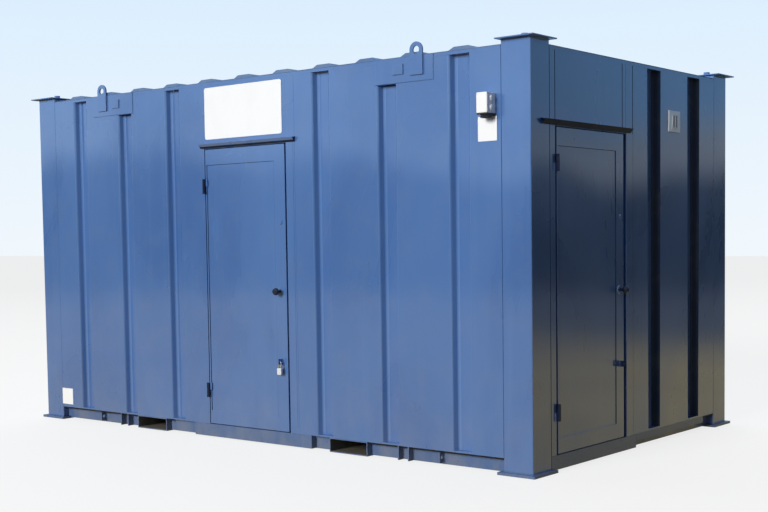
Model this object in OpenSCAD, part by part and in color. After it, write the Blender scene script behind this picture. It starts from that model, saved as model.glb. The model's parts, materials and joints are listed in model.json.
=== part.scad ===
// Portable site cabin: a steel box on a skid base, with two outward doors,
// fork pockets, corner posts that stack, and lifting eyes at the roof edge.
// The origin is on the ground under the middle of the frame. +X runs along
// the length towards the end with the side door, and the front faces -Y.

/* [Cabin] */
// Length over the corner posts
body_l = 4812; // [4000:1:6000]
// Width over the corner posts
body_w = 2740; // [2280:1:3300]
// Height from the ground to the top of the cap plates
cabin_h = 2650; // [2500:1:3200]
// From the top of the cap plates down to the roof edge
roof_drop = 40; // [30:1:60]
// Thickness of the walls, skin to lining
wall_t = 90; // [75:1:110]
// Height of the underside of the walls above the ground
wall_z = 102; // [95:1:125]

/* [Posts and plates] */
// Width of each face of a corner post
post_w = 212; // [170:1:260]
// Thickness of the foot plates
foot_t = 18; // [12:1:30]
// How far a foot plate stands out past the post
foot_out = 30; // [10:1:50]
// How far a foot plate reaches past the post, under the base rails
foot_in = 30; // [10:1:60]
// Thickness of the cap plates
cap_t = 8; // [6:1:15]
// How far a cap plate stands out past the post
cap_out = 46; // [10:1:60]
// How far a cap plate reaches in past the post
cap_in = 17; // [0:1:40]
// Diameter of the stacking button on a cap plate
button_d = 46; // [30:1:80]
// Height of the stacking button
button_h = 30; // [15:1:45]

/* [Skid base] */
// How far the base rails stand back from the wall face
rail_back = 50; // [35:1:60]
// Width of the base rails
rail_w = 60; // [50:1:90]
// Height of the rails above the ground
rail_clear = 8; // [4:1:20]
// Thickness of the plates of a fork pocket
pocket_t = 7; // [5:1:12]
// Clear width of a fork pocket
pocket_w = 322; // [260:1:380]
// Height of the fork pockets above the ground
pocket_clear = 4; // [2:1:15]
// Distance between the middles of the fork pockets
pocket_pitch = 2011; // [1800:1:2300]
// How far the pair of pockets lies from the middle of the cabin
pocket_shift = -72; // [-120:1:120]
// Height of the floor joists
joist_h = 70; // [50:1:85]
// Width of the floor joists
joist_w = 50; // [40:1:80]
// Joists in each of the three bays
joist_counts = [2, 3, 2];
// Distance of a pair of rail stiffeners from the middle
stiffener_x = 1408; // [1330:1:1600]
// Distance between the two stiffeners of a pair
stiffener_gap = 84; // [50:1:120]
// Thickness of a rail stiffener
stiffener_t = 9; // [6:1:14]
// Distance of a tie-down lug from the middle
lug_x = 1700; // [1560:1:1780]
// Thickness of a tie-down lug
lug_t = 10; // [8:1:16]
// Diameter of the hole in a tie-down lug
lug_hole = 26; // [16:1:32]
// Gap above and below a tie-down lug
lug_gap = 12; // [5:1:18]
// Thickness of the floor
floor_t = 24; // [18:1:40]

/* [Walls] */
// Width of a pressed rib at the wall face
rib_w = 147; // [120:1:180]
// Width of a pressed rib on the side wall
side_rib_w = 172; // [130:1:200]
// Depth of a pressed rib
rib_d = 50; // [20:1:60]
// Slope of a rib's flanks, across the wall
rib_run = 18; // [5:1:30]
// Height of the ledge under a rib
rib_ledge = 12; // [5:1:30]
// Ribs on each side of the front door
front_ribs = 3; // [2:1:4]
// From the left post to the first rib
rib_post_left = 326; // [240:1:400]
// From the right post to the first rib
rib_post_right = 311; // [200:1:360]
// From the door opening to the rib on its left
rib_door_left = 344; // [120:1:420]
// From the door opening to the rib on its right
rib_door_right = 326; // [120:1:420]
// Ribs on the back wall
back_ribs = 8; // [4:1:9]
// Ribs on the left wall
left_ribs = 4; // [2:1:5]
// From a post to the nearest rib on the end walls
end_rib_post = 346; // [200:1:380]
// From the side door's opening to the rib next to it
side_rib_door = 403; // [150:1:430]

/* [Doors] */
// Middle of the front door's opening, along the length
front_door_x = -9; // [-60:1:60]
// Width of the front door's opening
front_open_w = 822; // [680:1:990]
// From the near post to the side door's opening
side_door_post = 61; // [40:1:120]
// Width of the side door's opening
side_open_w = 892; // [740:1:900]
// Height of the door openings above the ground
open_top = 2131; // [2000:1:2250]
// Gap on the hinge side of the front door
front_hinge_gap = 7; // [5:1:20]
// Gap on the lock side of the front door
front_lock_gap = 14; // [8:1:20]
// Gap on the hinge side of the side door
side_hinge_gap = 18; // [5:1:24]
// Gap on the lock side of the side door
side_lock_gap = 32; // [8:1:34]
// Gap above and below a door
leaf_gap = 5; // [5:1:10]
// Thickness of a door
leaf_t = 44; // [38:1:44]
// Depth of the pressed panel of a door
panel_d = 4; // [2:1:8]
// From the lock edge of a door to its panel
panel_stile = 104; // [70:1:140]
// From the hinge edge of a door to its panel
panel_edge = 16; // [10:1:60]
// From the top of a door to its panel
panel_top = 115; // [80:1:160]
// From the bottom of a door to its panel
panel_foot = 98; // [60:1:160]
// Clearance between a closed door and its stop
seal_gap = 6; // [5:1:8]
// Width of the door frames
frame_w = 45; // [40:1:60]

/* [Hinges] */
// Diameter of a hinge knuckle
knuckle_d = 24; // [20:1:30]
// Length of a whole hinge
hinge_h = 106; // [80:1:130]
// Diameter of a hinge pin
pin_d = 12; // [10:1:14]
// Radial clearance of pins and spindles
pin_fit = 0.1; // [0.05:0.01:0.1]
// Distance of a hinge axis from the wall face
hinge_out = 13; // [12.5:0.5:18]
// Width of a hinge flap, from the axis
flap_w = 29; // [20:1:40]
// Thickness of a hinge flap
flap_t = 6; // [4:1:8]
// From the top of a hinge down to the top of its pin
pin_drop = 8; // [4:1:20]
// Axial gap between the two halves of a hinge
hinge_slip = 0.3; // [0.2:0.1:1]
// Heights of the middles of the front door's hinges
front_hinge_z = [357, 1858];
// Heights of the middles of the side door's hinges
side_hinge_z = [367, 1907];

/* [Door furniture] */
// Height of the knobs
knob_z = 1098; // [1000:1:1200]
// From a door's lock edge to its knob
knob_inset = 62; // [50:1:90]
// Diameter of a knob
knob_d = 52; // [44:1:60]
// How far a knob stands out from its door
knob_out = 66; // [56:1:80]
// Depth of the flat turned on a knob's face
knob_flat = 4; // [2:1:8]
// Diameter of a knob's neck
neck_d = 20; // [16:1:24]
// Diameter of a knob's rose
rose_d = 58; // [50:1:70]
// Thickness of a knob's rose
rose_t = 6; // [4:1:10]
// Height of the lock cylinders
lock_z = 1582; // [1500:1:1650]
// From a door's lock edge to its lock cylinder
lock_inset = 45; // [35:1:80]
// Diameter of the ring of a lock cylinder
lock_d = 32; // [25:1:45]
// How far a lock cylinder stands out
lock_out = 7; // [4:1:12]
// Height of the hole in the padlock lugs
staple_z = 604; // [540:1:660]
// From a door's lock edge to its padlock lug
staple_inset = 52; // [40:1:80]
// How far a padlock lug stands out
staple_out = 45; // [38:1:60]
// Height of a padlock lug
staple_h = 40; // [30:1:60]
// Thickness of a padlock lug
staple_t = 6; // [4:1:8]
// Diameter of the padlock's shackle
shackle_d = 8; // [6:1:10]
// Width of the padlock
padlock_w = 40; // [34:1:50]
// Height of the padlock's body
padlock_h = 46; // [36:1:60]
// Thickness of the padlock's body
padlock_t = 18; // [14:1:24]
// From the shackle's top to the padlock's body
shackle_h = 45; // [35:1:60]

/* [Roof] */
// Depth of the roof rails
roof_rail_t = 20; // [12:1:30]
// Depth of the ceiling panel below the roof edge
ceiling_t = 90; // [60:1:120]
// Thickness of the roof sheet
sheet_t = 6; // [3:1:10]
// Number of roof ribs
roof_ribs = 11; // [6:1:11]
// From a post to the middle of the nearest roof rib
roof_rib_post = 294; // [120:1:350]
// Width of a roof rib at its foot
roof_rib_w = 190; // [100:1:220]
// Width of a roof rib at its top
roof_rib_top = 110; // [60:1:150]
// Height of a roof rib above the sheet
roof_rib_h = 20; // [10:1:30]

/* [Lifting eyes] */
// Distance of a lifting eye from the middle
eye_x = 1565; // [1500:1:1640]
// Width of a lifting eye
eye_w = 102; // [90:1:120]
// Thickness of a lifting eye
eye_t = 12; // [10:1:20]
// Diameter of the hole in a lifting eye
eye_hole = 50; // [36:1:56]
// Height of the hole above the roof edge
eye_up = 36; // [30:1:60]
// How far a lifting eye reaches below the roof edge
eye_down = 120; // [90:1:140]
// Thickness of the plate behind a lifting eye
back_plate_t = 6; // [5:1:10]
// Inner end of the back plate, from the middle
back_plate_in = 1212; // [1100:1:1300]
// Outer end of the back plate, from the middle
back_plate_end = 1690; // [1680:1:1750]
// Height of the back plate
back_plate_h = 158; // [145:1:180]
// Distance of the stop pad from the middle
pad_x = 1411; // [1350:1:1430]
// Width of the stop pad
pad_w = 86; // [60:1:100]
// Height of the stop pad
pad_h = 66; // [40:1:90]
// Thickness of the stop pad
pad_t = 9; // [5:1:14]
// From the foot of a lifting eye up to its stop pad
pad_up = 14; // [5:1:30]

/* [Fittings] */
// Width of the sign plate over the front door
sign_w = 776; // [400:1:900]
// Gaps below and above the sign plate
sign_gaps = [27, 38];
// How far the sign plate lies left of the door's middle
sign_shift = 8; // [0:1:40]
// Thickness of the plain plates
plate_t = 3; // [2:1:5]
// Corner radius of the sign plate
sign_r = 16; // [4:1:30]
// Size of the plate under the power inlet: width, height
inlet_plate = [140, 150];
// How far this plate lies left of the power inlet
inlet_plate_shift = 22; // [0:1:30]
// How far the middle of this plate lies below the inlet box's
inlet_plate_down = 150; // [140:1:200]
// Size of the small plate near the left foot: width, height
small_plate = [138, 131];
// From the left post to the middle of the small plate
small_plate_post = 66; // [50:1:90]
// Height of the middle of the small plate
small_plate_z = 192; // [170:1:260]
// How far the drip rails stand out
drip_out = 34; // [20:1:45]
// Height of a drip rail
drip_h = 36; // [25:1:50]
// Thickness of the metal of a drip rail
drip_t = 5; // [3:1:7]
// Fall of a drip rail's top towards its lip
drip_fall = 6; // [2:1:10]
// How far the foot of a drip rail's lip stands out
drip_foot = 11; // [8:1:16]
// From the top of an opening up to its drip rail
drip_up = 4; // [2:1:10]
// From the front opening to the ends of its drip rail
front_drip_past = [30, 91];
// From the side opening to the ends of its drip rail
side_drip_past = [160, 50];
// From the front opening to the ends of its sill
front_sill_past = [166, 197];
// From the side opening to the far end of its sill
side_sill_past = 141; // [60:1:200]
// Height of the sills above the ground
sill_clear = 9; // [4:1:20]
// Height of the skirts at the two ends of the cabin
skirt_h = 48; // [30:1:70]
// Length of the open bay at the far end of the right skirt
skirt_bay = 178; // [100:1:260]
// Distance of the bosses on the side of the inlet box from the wall
boss_back = 32; // [20:1:50]
// Size of the power inlet box: width, height, depth
inlet_box = [80, 125, 98];
// From the right post to the power inlet box
inlet_post = 36; // [20:1:60]
// From the roof edge down to the middle of the power inlet box
inlet_down = 344; // [300:1:400]
// Diameter of the two bosses on the side of the inlet box
boss_d = 25; // [10:1:40]
// How far the bosses stand out
boss_out = 7; // [3:1:12]
// Distance between the bosses
boss_pitch = 50; // [30:1:70]
// Diameter of the power inlet's collar
inlet_d = 70; // [60:1:76]
// Clear diameter inside the collar
inlet_bore = 54; // [40:1:56]
// Size of the flange over the collar: width, depth, thickness
inlet_flange = [76, 90, 8];
// Depth of the collar below its box
inlet_drop = 26; // [20:1:40]
// Thickness of the collar's closed top
inlet_base = 5; // [3:1:8]
// Size of the vent: width, height, depth
vent_size = [172, 150, 12];
// Size of the vent's raised grille: width, height, depth
grille_size = [86, 93, 6];
// From the far post to the middle of the vent
vent_post = 665; // [620:1:700]
// From the roof edge down to the middle of the vent
vent_down = 356; // [300:1:420]

/* [Hidden] */
$fn = 48;
e = 1;
hx = body_l / 2;
hy = body_w / 2;
post_x = hx - post_w;
post_y = hy - post_w;
foot_w = post_w + foot_out + foot_in;
cap_w = post_w + cap_out + cap_in;
roof_z = cabin_h - roof_drop;
wall_top = roof_z - roof_rail_t;
rail_h = wall_z - rail_clear;
front_open = [front_door_x - front_open_w / 2, front_door_x + front_open_w / 2];
side_open = [side_door_post - post_y, side_door_post - post_y + side_open_w];
front_leaf = [front_open[0] + front_hinge_gap, front_open[1] - front_lock_gap];
side_leaf = [side_open[0] + side_hinge_gap, side_open[1] - side_lock_gap];
front_axis = front_open[0] + front_hinge_gap / 2;
side_axis = side_open[0] + side_hinge_gap / 2;
leaf_z = [wall_z + leaf_gap, open_top - leaf_gap];
stop_v = leaf_t + seal_gap;
pocket_out_w = pocket_w + 2 * pocket_t;
pocket_x = [pocket_shift - pocket_pitch / 2, pocket_shift + pocket_pitch / 2];
inlet_x = post_x - inlet_post - inlet_box[0] / 2;
inlet_z = roof_z - inlet_down;
sign_z = [open_top + drip_up + drip_h + sign_gaps[0], roof_z - sign_gaps[1]];

// Each wall has its own frame: u runs to the right as seen from outside,
// v runs into the cabin from the wall's face, and z is up.
module on_front() {
    translate([0, -hy, 0]) children();
}

module on_side() {
    translate([hx, 0, 0]) rotate([0, 0, 90]) children();
}

module on_back() {
    translate([0, hy, 0]) rotate([0, 0, 180]) children();
}

module on_left() {
    translate([-hx, 0, 0]) rotate([0, 0, -90]) children();
}

// A block between two values on each axis.
module block(u, v, z) {
    translate([u[0], v[0], z[0]]) cube([u[1] - u[0], v[1] - v[0], z[1] - z[0]]);
}

// A flat shape drawn in u and z, thickened outwards from v.
module outward(t, v = 0) {
    translate([0, v, 0]) rotate([90, 0, 0]) linear_extrude(t) children();
}

// A round bar along v, from v0 outwards.
module stud(d, length, u, z, v0 = 0) {
    translate([u, v0, z]) rotate([90, 0, 0]) cylinder(d = d, h = length);
}

function spread(first, last, count) =
    [for (i = [0:count - 1]) first + (last - first) * i / max(1, count - 1)];

// The four corners, as mirrored copies of the one at +X +Y.
module at_corners() {
    for (mx = [0, 1], my = [0, 1]) mirror([mx, 0, 0]) mirror([0, my, 0]) children();
}

// Plan of a corner post: two legs as deep as the walls.
module post_plan() {
    difference() {
        translate([post_x, post_y]) square(post_w);
        translate([post_x - e, post_y - e]) square(post_w - wall_t + e);
    }
}

module post() {
    color("steelblue")
        translate([0, 0, foot_t]) linear_extrude(cabin_h - cap_t - foot_t) post_plan();
}

module post_back_right() {
    post();
}

module post_back_left() {
    mirror([1, 0, 0]) post();
}

module post_front_right() {
    mirror([0, 1, 0]) post();
}

module post_front_left() {
    mirror([1, 0, 0]) mirror([0, 1, 0]) post();
}

module foot_plates() {
    color("steelblue") at_corners()
        translate([hx + foot_out - foot_w, hy + foot_out - foot_w, 0])
            cube([foot_w, foot_w, foot_t]);
}

// Rails and sills are notched where they run onto the foot plates.
module on_foot_plates() {
    difference() {
        children();
        foot_plates();
    }
}

module cap_plates() {
    color("steelblue") at_corners() union() {
        translate([hx + cap_out - cap_w, hy + cap_out - cap_w, cabin_h - cap_t])
            cube([cap_w, cap_w, cap_t]);
        translate([hx - post_w / 2, hy - post_w / 2, cabin_h - e])
            cylinder(d = button_d, h = button_h + e);
    }
}

module pocket_cut(x) {
    block([x - pocket_out_w / 2, x + pocket_out_w / 2], [-hy - e, hy + e],
        [-e, wall_z + e]);
}

module long_base_rails() {
    color("steelblue") difference() {
        for (turn = [0, 180]) rotate([0, 0, turn]) on_front()
            block([-post_x, post_x], [rail_back, rail_back + rail_w], [rail_clear, wall_z]);
        for (x = pocket_x) pocket_cut(x);
        foot_plates();
    }
}

module end_base_rails() {
    color("steelblue") on_foot_plates() for (turn = [0, 180]) rotate([0, 0, turn]) on_side()
        block([-post_y, post_y], [rail_back, rail_back + rail_w], [rail_clear, wall_z]);
}

module end_skirts() {
    color("steelblue") union() {
        on_side() block([side_open[1] + side_sill_past, post_y - skirt_bay],
            [0, rail_back], [wall_z - skirt_h, wall_z]);
        on_left() block([-post_y, post_y], [0, rail_back], [wall_z - skirt_h, wall_z]);
    }
}

module joist(x) {
    inner = hy - rail_back - rail_w;
    block([x - joist_w / 2, x + joist_w / 2], [-inner, inner], [wall_z - joist_h, wall_z]);
}

// Joists share out each bay between the end rails and the pockets.
module floor_joists() {
    edge = hx - rail_back - rail_w;
    half = pocket_out_w / 2;
    bays = [[-edge, pocket_x[0] - half], [pocket_x[0] + half, pocket_x[1] - half],
        [pocket_x[1] + half, edge]];
    color("dimgray") for (b = [0:2], i = [1:joist_counts[b]])
        joist(bays[b][0] + (bays[b][1] - bays[b][0]) * i / (joist_counts[b] + 1));
}

// A flat steel tube from wall face to wall face, open at both ends.
module fork_pocket(x) {
    color("steelblue") difference() {
        block([x - pocket_out_w / 2, x + pocket_out_w / 2], [-hy, hy],
            [pocket_clear, wall_z]);
        block([x - pocket_w / 2, x + pocket_w / 2], [-hy - e, hy + e],
            [pocket_clear + pocket_t, wall_z - pocket_t]);
    }
}

module fork_pocket_left() {
    fork_pocket(pocket_x[0]);
}

module fork_pocket_right() {
    fork_pocket(pocket_x[1]);
}

module tie_down_lug(u) {
    mid_z = (rail_clear + wall_z) / 2;
    difference() {
        block([u - lug_t / 2, u + lug_t / 2], [0, rail_back],
            [rail_clear + lug_gap, wall_z - lug_gap]);
        translate([u - lug_t, rail_back / 2, mid_z]) rotate([0, 90, 0])
            cylinder(d = lug_hole, h = 2 * lug_t);
    }
}

// Welded plates that stand out from the long rails, and the tie-down lugs.
module rail_stiffeners() {
    color("steelblue") for (turn = [0, 180]) rotate([0, 0, turn]) on_front()
        for (s = [-1, 1]) {
            for (k = [-1, 1]) {
                u = s * stiffener_x + k * stiffener_gap / 2;
                block([u - stiffener_t / 2, u + stiffener_t / 2], [0, rail_back],
                    [rail_clear, wall_z]);
            }
            tie_down_lug(s * lug_x);
        }
}

// The floor reaches into both doorways, up to the door stops.
module floor() {
    color("saddlebrown") union() {
        block([-hx + wall_t, hx - wall_t], [-hy + wall_t, hy - wall_t],
            [wall_z, wall_z + floor_t]);
        on_front() block([front_open[0] + frame_w, front_open[1] - frame_w],
            [stop_v, wall_t + e], [wall_z, wall_z + floor_t]);
        on_side() block([side_open[0] + frame_w, side_open[1] - frame_w],
            [stop_v, wall_t + e], [wall_z, wall_z + floor_t]);
    }
}

// A wall from u[0] to u[1] with pressed ribs at the given places.
module ribbed_wall(u, ribs, w = rib_w) {
    color("steelblue") difference() {
        block(u, [0, wall_t], [wall_z, wall_top]);
        for (c = ribs) translate([c, 0, wall_z + rib_ledge]) linear_extrude(wall_top)
            polygon([[-w / 2, -e], [-w / 2, 0], [-w / 2 + rib_run, rib_d],
                [w / 2 - rib_run, rib_d], [w / 2, 0], [w / 2, -e]]);
    }
}

module front_wall_left() {
    on_front() ribbed_wall([-post_x, front_open[0]],
        spread(-post_x + rib_post_left, front_open[0] - rib_door_left, front_ribs));
}

module front_wall_right() {
    on_front() ribbed_wall([front_open[1], post_x],
        spread(front_open[1] + rib_door_right, post_x - rib_post_right, front_ribs));
}

module front_door_header() {
    color("steelblue") on_front() block(front_open, [0, wall_t], [open_top, wall_top]);
}

module side_wall() {
    on_side() ribbed_wall([side_open[1], post_y],
        [side_open[1] + side_rib_door, post_y - end_rib_post], side_rib_w);
}

module side_wall_strip() {
    on_side() ribbed_wall([-post_y, side_open[0]], []);
}

module side_door_header() {
    color("steelblue") on_side() block(side_open, [0, wall_t], [open_top, wall_top]);
}

module back_wall() {
    on_back() ribbed_wall([-post_x, post_x],
        spread(-post_x + rib_post_right, post_x - rib_post_right, back_ribs));
}

module left_wall() {
    on_left() ribbed_wall([-post_y, post_y],
        spread(-post_y + end_rib_post, post_y - end_rib_post, left_ribs), side_rib_w);
}

// Two jambs and a head behind the door's edge, which the door closes on.
module door_frame(open) {
    color("steelblue") difference() {
        block(open, [stop_v, wall_t], [wall_z, open_top]);
        block([open[0] + frame_w, open[1] - frame_w], [stop_v - e, wall_t + e],
            [wall_z - e, open_top - frame_w]);
    }
}

module front_door_frame() {
    on_front() door_frame(front_open);
}

module side_door_frame() {
    on_side() door_frame(side_open);
}

module door_sills() {
    color("steelblue") on_foot_plates() {
        on_front() block([front_open[0] - front_sill_past[0],
            front_open[1] + front_sill_past[1]], [0, rail_back], [sill_clear, wall_z]);
        on_side() block([-post_y, side_open[1] + side_sill_past], [0, rail_back],
            [sill_clear, wall_z]);
    }
}

// A door with its hinges on the left, as seen from outside.
module door_leaf(u) {
    color("royalblue") difference() {
        block(u, [0, leaf_t], leaf_z);
        block([u[0] + panel_edge, u[1] - panel_stile], [-e, panel_d],
            [leaf_z[0] + panel_foot, leaf_z[1] - panel_top]);
    }
}

module front_door_leaf() {
    on_front() door_leaf(front_leaf);
}

module side_door_leaf() {
    on_side() door_leaf(side_leaf);
}

// Lower half of a hinge: a knuckle and flap on the wall, and the upright pin.
module hinge_pin(u, z) {
    lower = hinge_h / 2 - hinge_slip;
    translate([u, -hinge_out, z - hinge_h / 2]) union() {
        cylinder(d = knuckle_d, h = lower);
        cylinder(d = pin_d, h = hinge_h - pin_drop);
        translate([-flap_w, hinge_out - flap_t, 0]) cube([flap_w, flap_t, lower]);
        translate([-knuckle_d / 2, 0, 0]) cube([knuckle_d / 2, hinge_out - flap_t + e, lower]);
    }
}

// Upper half of a hinge: a bored knuckle and a flap on the door.
module hinge_knuckle(u, z) {
    translate([u, -hinge_out, z]) difference() {
        union() {
            cylinder(d = knuckle_d, h = hinge_h / 2);
            translate([0, hinge_out - flap_t, 0]) cube([flap_w, flap_t, hinge_h / 2]);
            cube([knuckle_d / 2, hinge_out - flap_t + e, hinge_h / 2]);
        }
        translate([0, 0, -e]) cylinder(d = pin_d + 2 * pin_fit, h = hinge_h);
    }
}

module hinge_pins() {
    color("darkslateblue") union() {
        on_front() for (z = front_hinge_z) hinge_pin(front_axis, z);
        on_side() for (z = side_hinge_z) hinge_pin(side_axis, z);
    }
}

module front_hinge_knuckles() {
    color("darkslateblue") on_front() for (z = front_hinge_z) hinge_knuckle(front_axis, z);
}

module side_hinge_knuckles() {
    color("darkslateblue") on_side() for (z = side_hinge_z) hinge_knuckle(side_axis, z);
}

// A bent strip over a doorway that throws the rain clear of the door: its top
// falls outwards, and its lip runs back in below.
module drip_rail(u) {
    lip_z = drip_h - drip_fall;
    translate([u[0], 0, open_top + drip_up]) rotate([90, 0, 90]) linear_extrude(u[1] - u[0])
        polygon([[0, drip_h], [0, drip_h - drip_t], [1.5 * drip_t - drip_out, lip_z - drip_t],
            [drip_t - drip_foot, 0], [-drip_foot, 0], [-drip_out, lip_z]]);
}

module drip_rails() {
    color("steelblue") union() {
        on_front() drip_rail([front_open[0] - front_drip_past[0],
            front_open[1] + front_drip_past[1]]);
        on_side() drip_rail([side_open[0] - side_drip_past[0],
            side_open[1] + side_drip_past[1]]);
    }
}

// Rose, lock cylinder and padlock lug of a door whose lock edge is at u.
module door_furniture(u) {
    color("silver") union() {
        difference() {
            stud(rose_d, rose_t, u - knob_inset, knob_z);
            stud(neck_d + 2 * pin_fit, rose_t + 2 * e, u - knob_inset, knob_z, e);
        }
        stud(lock_d, lock_out, u - lock_inset, lock_z);
        difference() {
            block([u - staple_inset - staple_t / 2, u - staple_inset + staple_t / 2],
                [-staple_out, 0], [staple_z - staple_h / 2, staple_z + staple_h / 2]);
            translate([u - staple_inset - staple_t, -staple_out * 2 / 3, staple_z])
                rotate([0, 90, 0]) cylinder(d = shackle_d + 2 * pin_fit, h = 2 * staple_t);
        }
    }
}

module front_door_furniture() {
    on_front() door_furniture(front_leaf[1]);
}

module side_door_furniture() {
    on_side() door_furniture(side_leaf[1]);
}

// A round knob with its face turned flat, on a neck that sits in the rose.
module knob(u) {
    color("silver") translate([u - knob_inset, -hinge_slip, knob_z]) rotate([90, 0, 0])
        rotate_extrude() union() {
            square([neck_d / 2, knob_out - knob_d / 2]);
            intersection() {
                translate([0, knob_out - knob_d / 2 + knob_flat]) circle(d = knob_d);
                square([knob_d, knob_out]);
            }
        }
}

module front_knob() {
    on_front() knob(front_leaf[1]);
}

module side_knob() {
    on_side() knob(side_leaf[1]);
}

// The shackle's straight top runs through the lug's hole, and both legs drop
// into the body.
module padlock() {
    leg = padlock_w / 2 - shackle_d;
    bend = shackle_d;
    color("lightgray") on_front()
        translate([front_leaf[1] - staple_inset, -staple_out * 2 / 3, staple_z]) union() {
            translate([bend - leg, 0, 0]) rotate([0, 90, 0])
                cylinder(d = shackle_d, h = 2 * (leg - bend));
            for (s = [0, 1]) mirror([s, 0, 0]) {
                translate([leg - bend, 0, -bend]) rotate([90, 0, 0])
                    rotate_extrude(angle = 90) translate([bend, 0]) circle(d = shackle_d);
                translate([leg, 0, -shackle_h - e])
                    cylinder(d = shackle_d, h = shackle_h - bend + e);
            }
            translate([-padlock_w / 2, -padlock_t / 2, -shackle_h - padlock_h])
                cube([padlock_w, padlock_t, padlock_h]);
        }
}

module roof_rails() {
    color("steelblue") for (turn = [0, 180]) rotate([0, 0, turn]) {
        on_front() block([-post_x, post_x], [0, wall_t], [wall_top, roof_z]);
        on_side() block([-post_y, post_y], [0, wall_t], [wall_top, roof_z]);
    }
}

module ceiling_panel() {
    color("whitesmoke") block([-hx + wall_t, hx - wall_t], [-hy + wall_t, hy - wall_t],
        [roof_z - ceiling_t, roof_z]);
}

// Sheet fitted round the posts, with pressed ribs that run front to back.
module roof_sheet() {
    reach = post_x - roof_rib_post;
    color("steelblue") translate([0, 0, roof_z]) difference() {
        union() {
            translate([-hx, -hy, 0]) cube([body_l, body_w, sheet_t]);
            for (x = spread(-reach, reach, roof_ribs)) translate([x, hy, sheet_t - e])
                rotate([90, 0, 0]) linear_extrude(body_w)
                    polygon([[-roof_rib_w / 2, 0], [roof_rib_w / 2, 0],
                        [roof_rib_w / 2, e], [roof_rib_top / 2, roof_rib_h + e],
                        [-roof_rib_top / 2, roof_rib_h + e], [-roof_rib_w / 2, e]]);
        }
        at_corners() translate([0, 0, -e]) linear_extrude(roof_rib_h + sheet_t + 2 * e)
            post_plan();
    }
}

// Both lifting points of a long wall, front or back.
module at_eyes() {
    for (turn = [0, 180], s = [0, 1]) rotate([0, 0, turn]) on_front() mirror([s, 0, 0])
        children();
}

module lifting_plates() {
    color("steelblue") at_eyes() union() {
        outward(back_plate_t) translate([back_plate_in, roof_z - back_plate_h])
            square([back_plate_end - back_plate_in, back_plate_h]);
        outward(pad_t + e, e - back_plate_t)
            translate([pad_x - pad_w / 2, roof_z - eye_down + pad_up]) square([pad_w, pad_h]);
    }
}

module lifting_eyes() {
    color("steelblue") at_eyes() outward(eye_t, -back_plate_t) difference() {
        union() {
            translate([eye_x, roof_z + eye_up]) circle(d = eye_w);
            translate([eye_x - eye_w / 2, roof_z - eye_down])
                square([eye_w, eye_down + eye_up]);
        }
        translate([eye_x, roof_z + eye_up]) circle(d = eye_hole);
    }
}

module plain_plate(size, u, z, r) {
    translate([u, 0, z]) outward(plate_t) union() {
        square([size[0] - 2 * r, size[1]], center = true);
        square([size[0], size[1] - 2 * r], center = true);
        for (sx = [-1, 1], sz = [-1, 1])
            translate([sx * (size[0] / 2 - r), sz * (size[1] / 2 - r)]) circle(r = r);
    }
}

// Plain plates: over the door, under the power inlet and by the left foot.
module sign_plates() {
    color("white") on_front() {
        plain_plate([sign_w, sign_z[1] - sign_z[0]], front_door_x - sign_shift,
            (sign_z[0] + sign_z[1]) / 2, sign_r);
        plain_plate(inlet_plate, inlet_x - inlet_plate_shift, inlet_z - inlet_plate_down,
            plate_t);
        plain_plate(small_plate, small_plate_post - post_x, small_plate_z, plate_t);
    }
}

module power_inlet_box() {
    w = inlet_box[0];
    h = inlet_box[1];
    d = inlet_box[2];
    color("white") on_front() translate([inlet_x, 0, inlet_z]) union() {
        block([-w / 2, w / 2], [-d, 0], [-h / 2, h / 2]);
        for (k = [-1, 1]) translate([w / 2 - e, -boss_back, k * boss_pitch / 2])
            rotate([0, 90, 0]) cylinder(d = boss_d, h = boss_out + e);
    }
}

// A flange and round collar under the box, open below for the supply plug.
module power_inlet() {
    color("black") on_front()
        translate([inlet_x, -inlet_box[2] / 2, inlet_z - inlet_box[1] / 2 - inlet_drop])
            difference() {
                union() {
                    cylinder(d = inlet_d, h = inlet_drop);
                    translate([0, 0, inlet_drop - inlet_flange[2] / 2])
                        cube(inlet_flange, center = true);
                }
                translate([0, 0, -e]) cylinder(d = inlet_bore, h = inlet_drop - inlet_base + e);
            }
}

module vent() {
    color("ivory") on_side() translate([post_y - vent_post, 0, roof_z - vent_down]) union() {
        outward(vent_size[2]) square([vent_size[0], vent_size[1]], center = true);
        outward(grille_size[2] + e, e - vent_size[2])
            square([grille_size[0], grille_size[1]], center = true);
    }
}

post_front_left();
post_front_right();
post_back_left();
post_back_right();
foot_plates();
cap_plates();
long_base_rails();
end_base_rails();
end_skirts();
floor_joists();
fork_pocket_left();
fork_pocket_right();
rail_stiffeners();
floor();
front_wall_left();
front_wall_right();
front_door_header();
side_wall();
side_wall_strip();
side_door_header();
back_wall();
left_wall();
front_door_frame();
side_door_frame();
door_sills();
front_door_leaf();
side_door_leaf();
hinge_pins();
front_hinge_knuckles();
side_hinge_knuckles();
drip_rails();
front_door_furniture();
side_door_furniture();
front_knob();
side_knob();
padlock();
roof_rails();
ceiling_panel();
roof_sheet();
lifting_plates();
lifting_eyes();
sign_plates();
power_inlet_box();
power_inlet();
vent();
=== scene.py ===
"""Looks of a portable steel site cabin: finishes, pressed sheets, doors, fittings, setting."""

import json
import logging
import math
from dataclasses import dataclass
from enum import Enum
from itertools import pairwise
from typing import Callable, Iterable, Optional, Sequence

import bmesh
import bpy
from mathutils import Matrix, Vector


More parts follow.
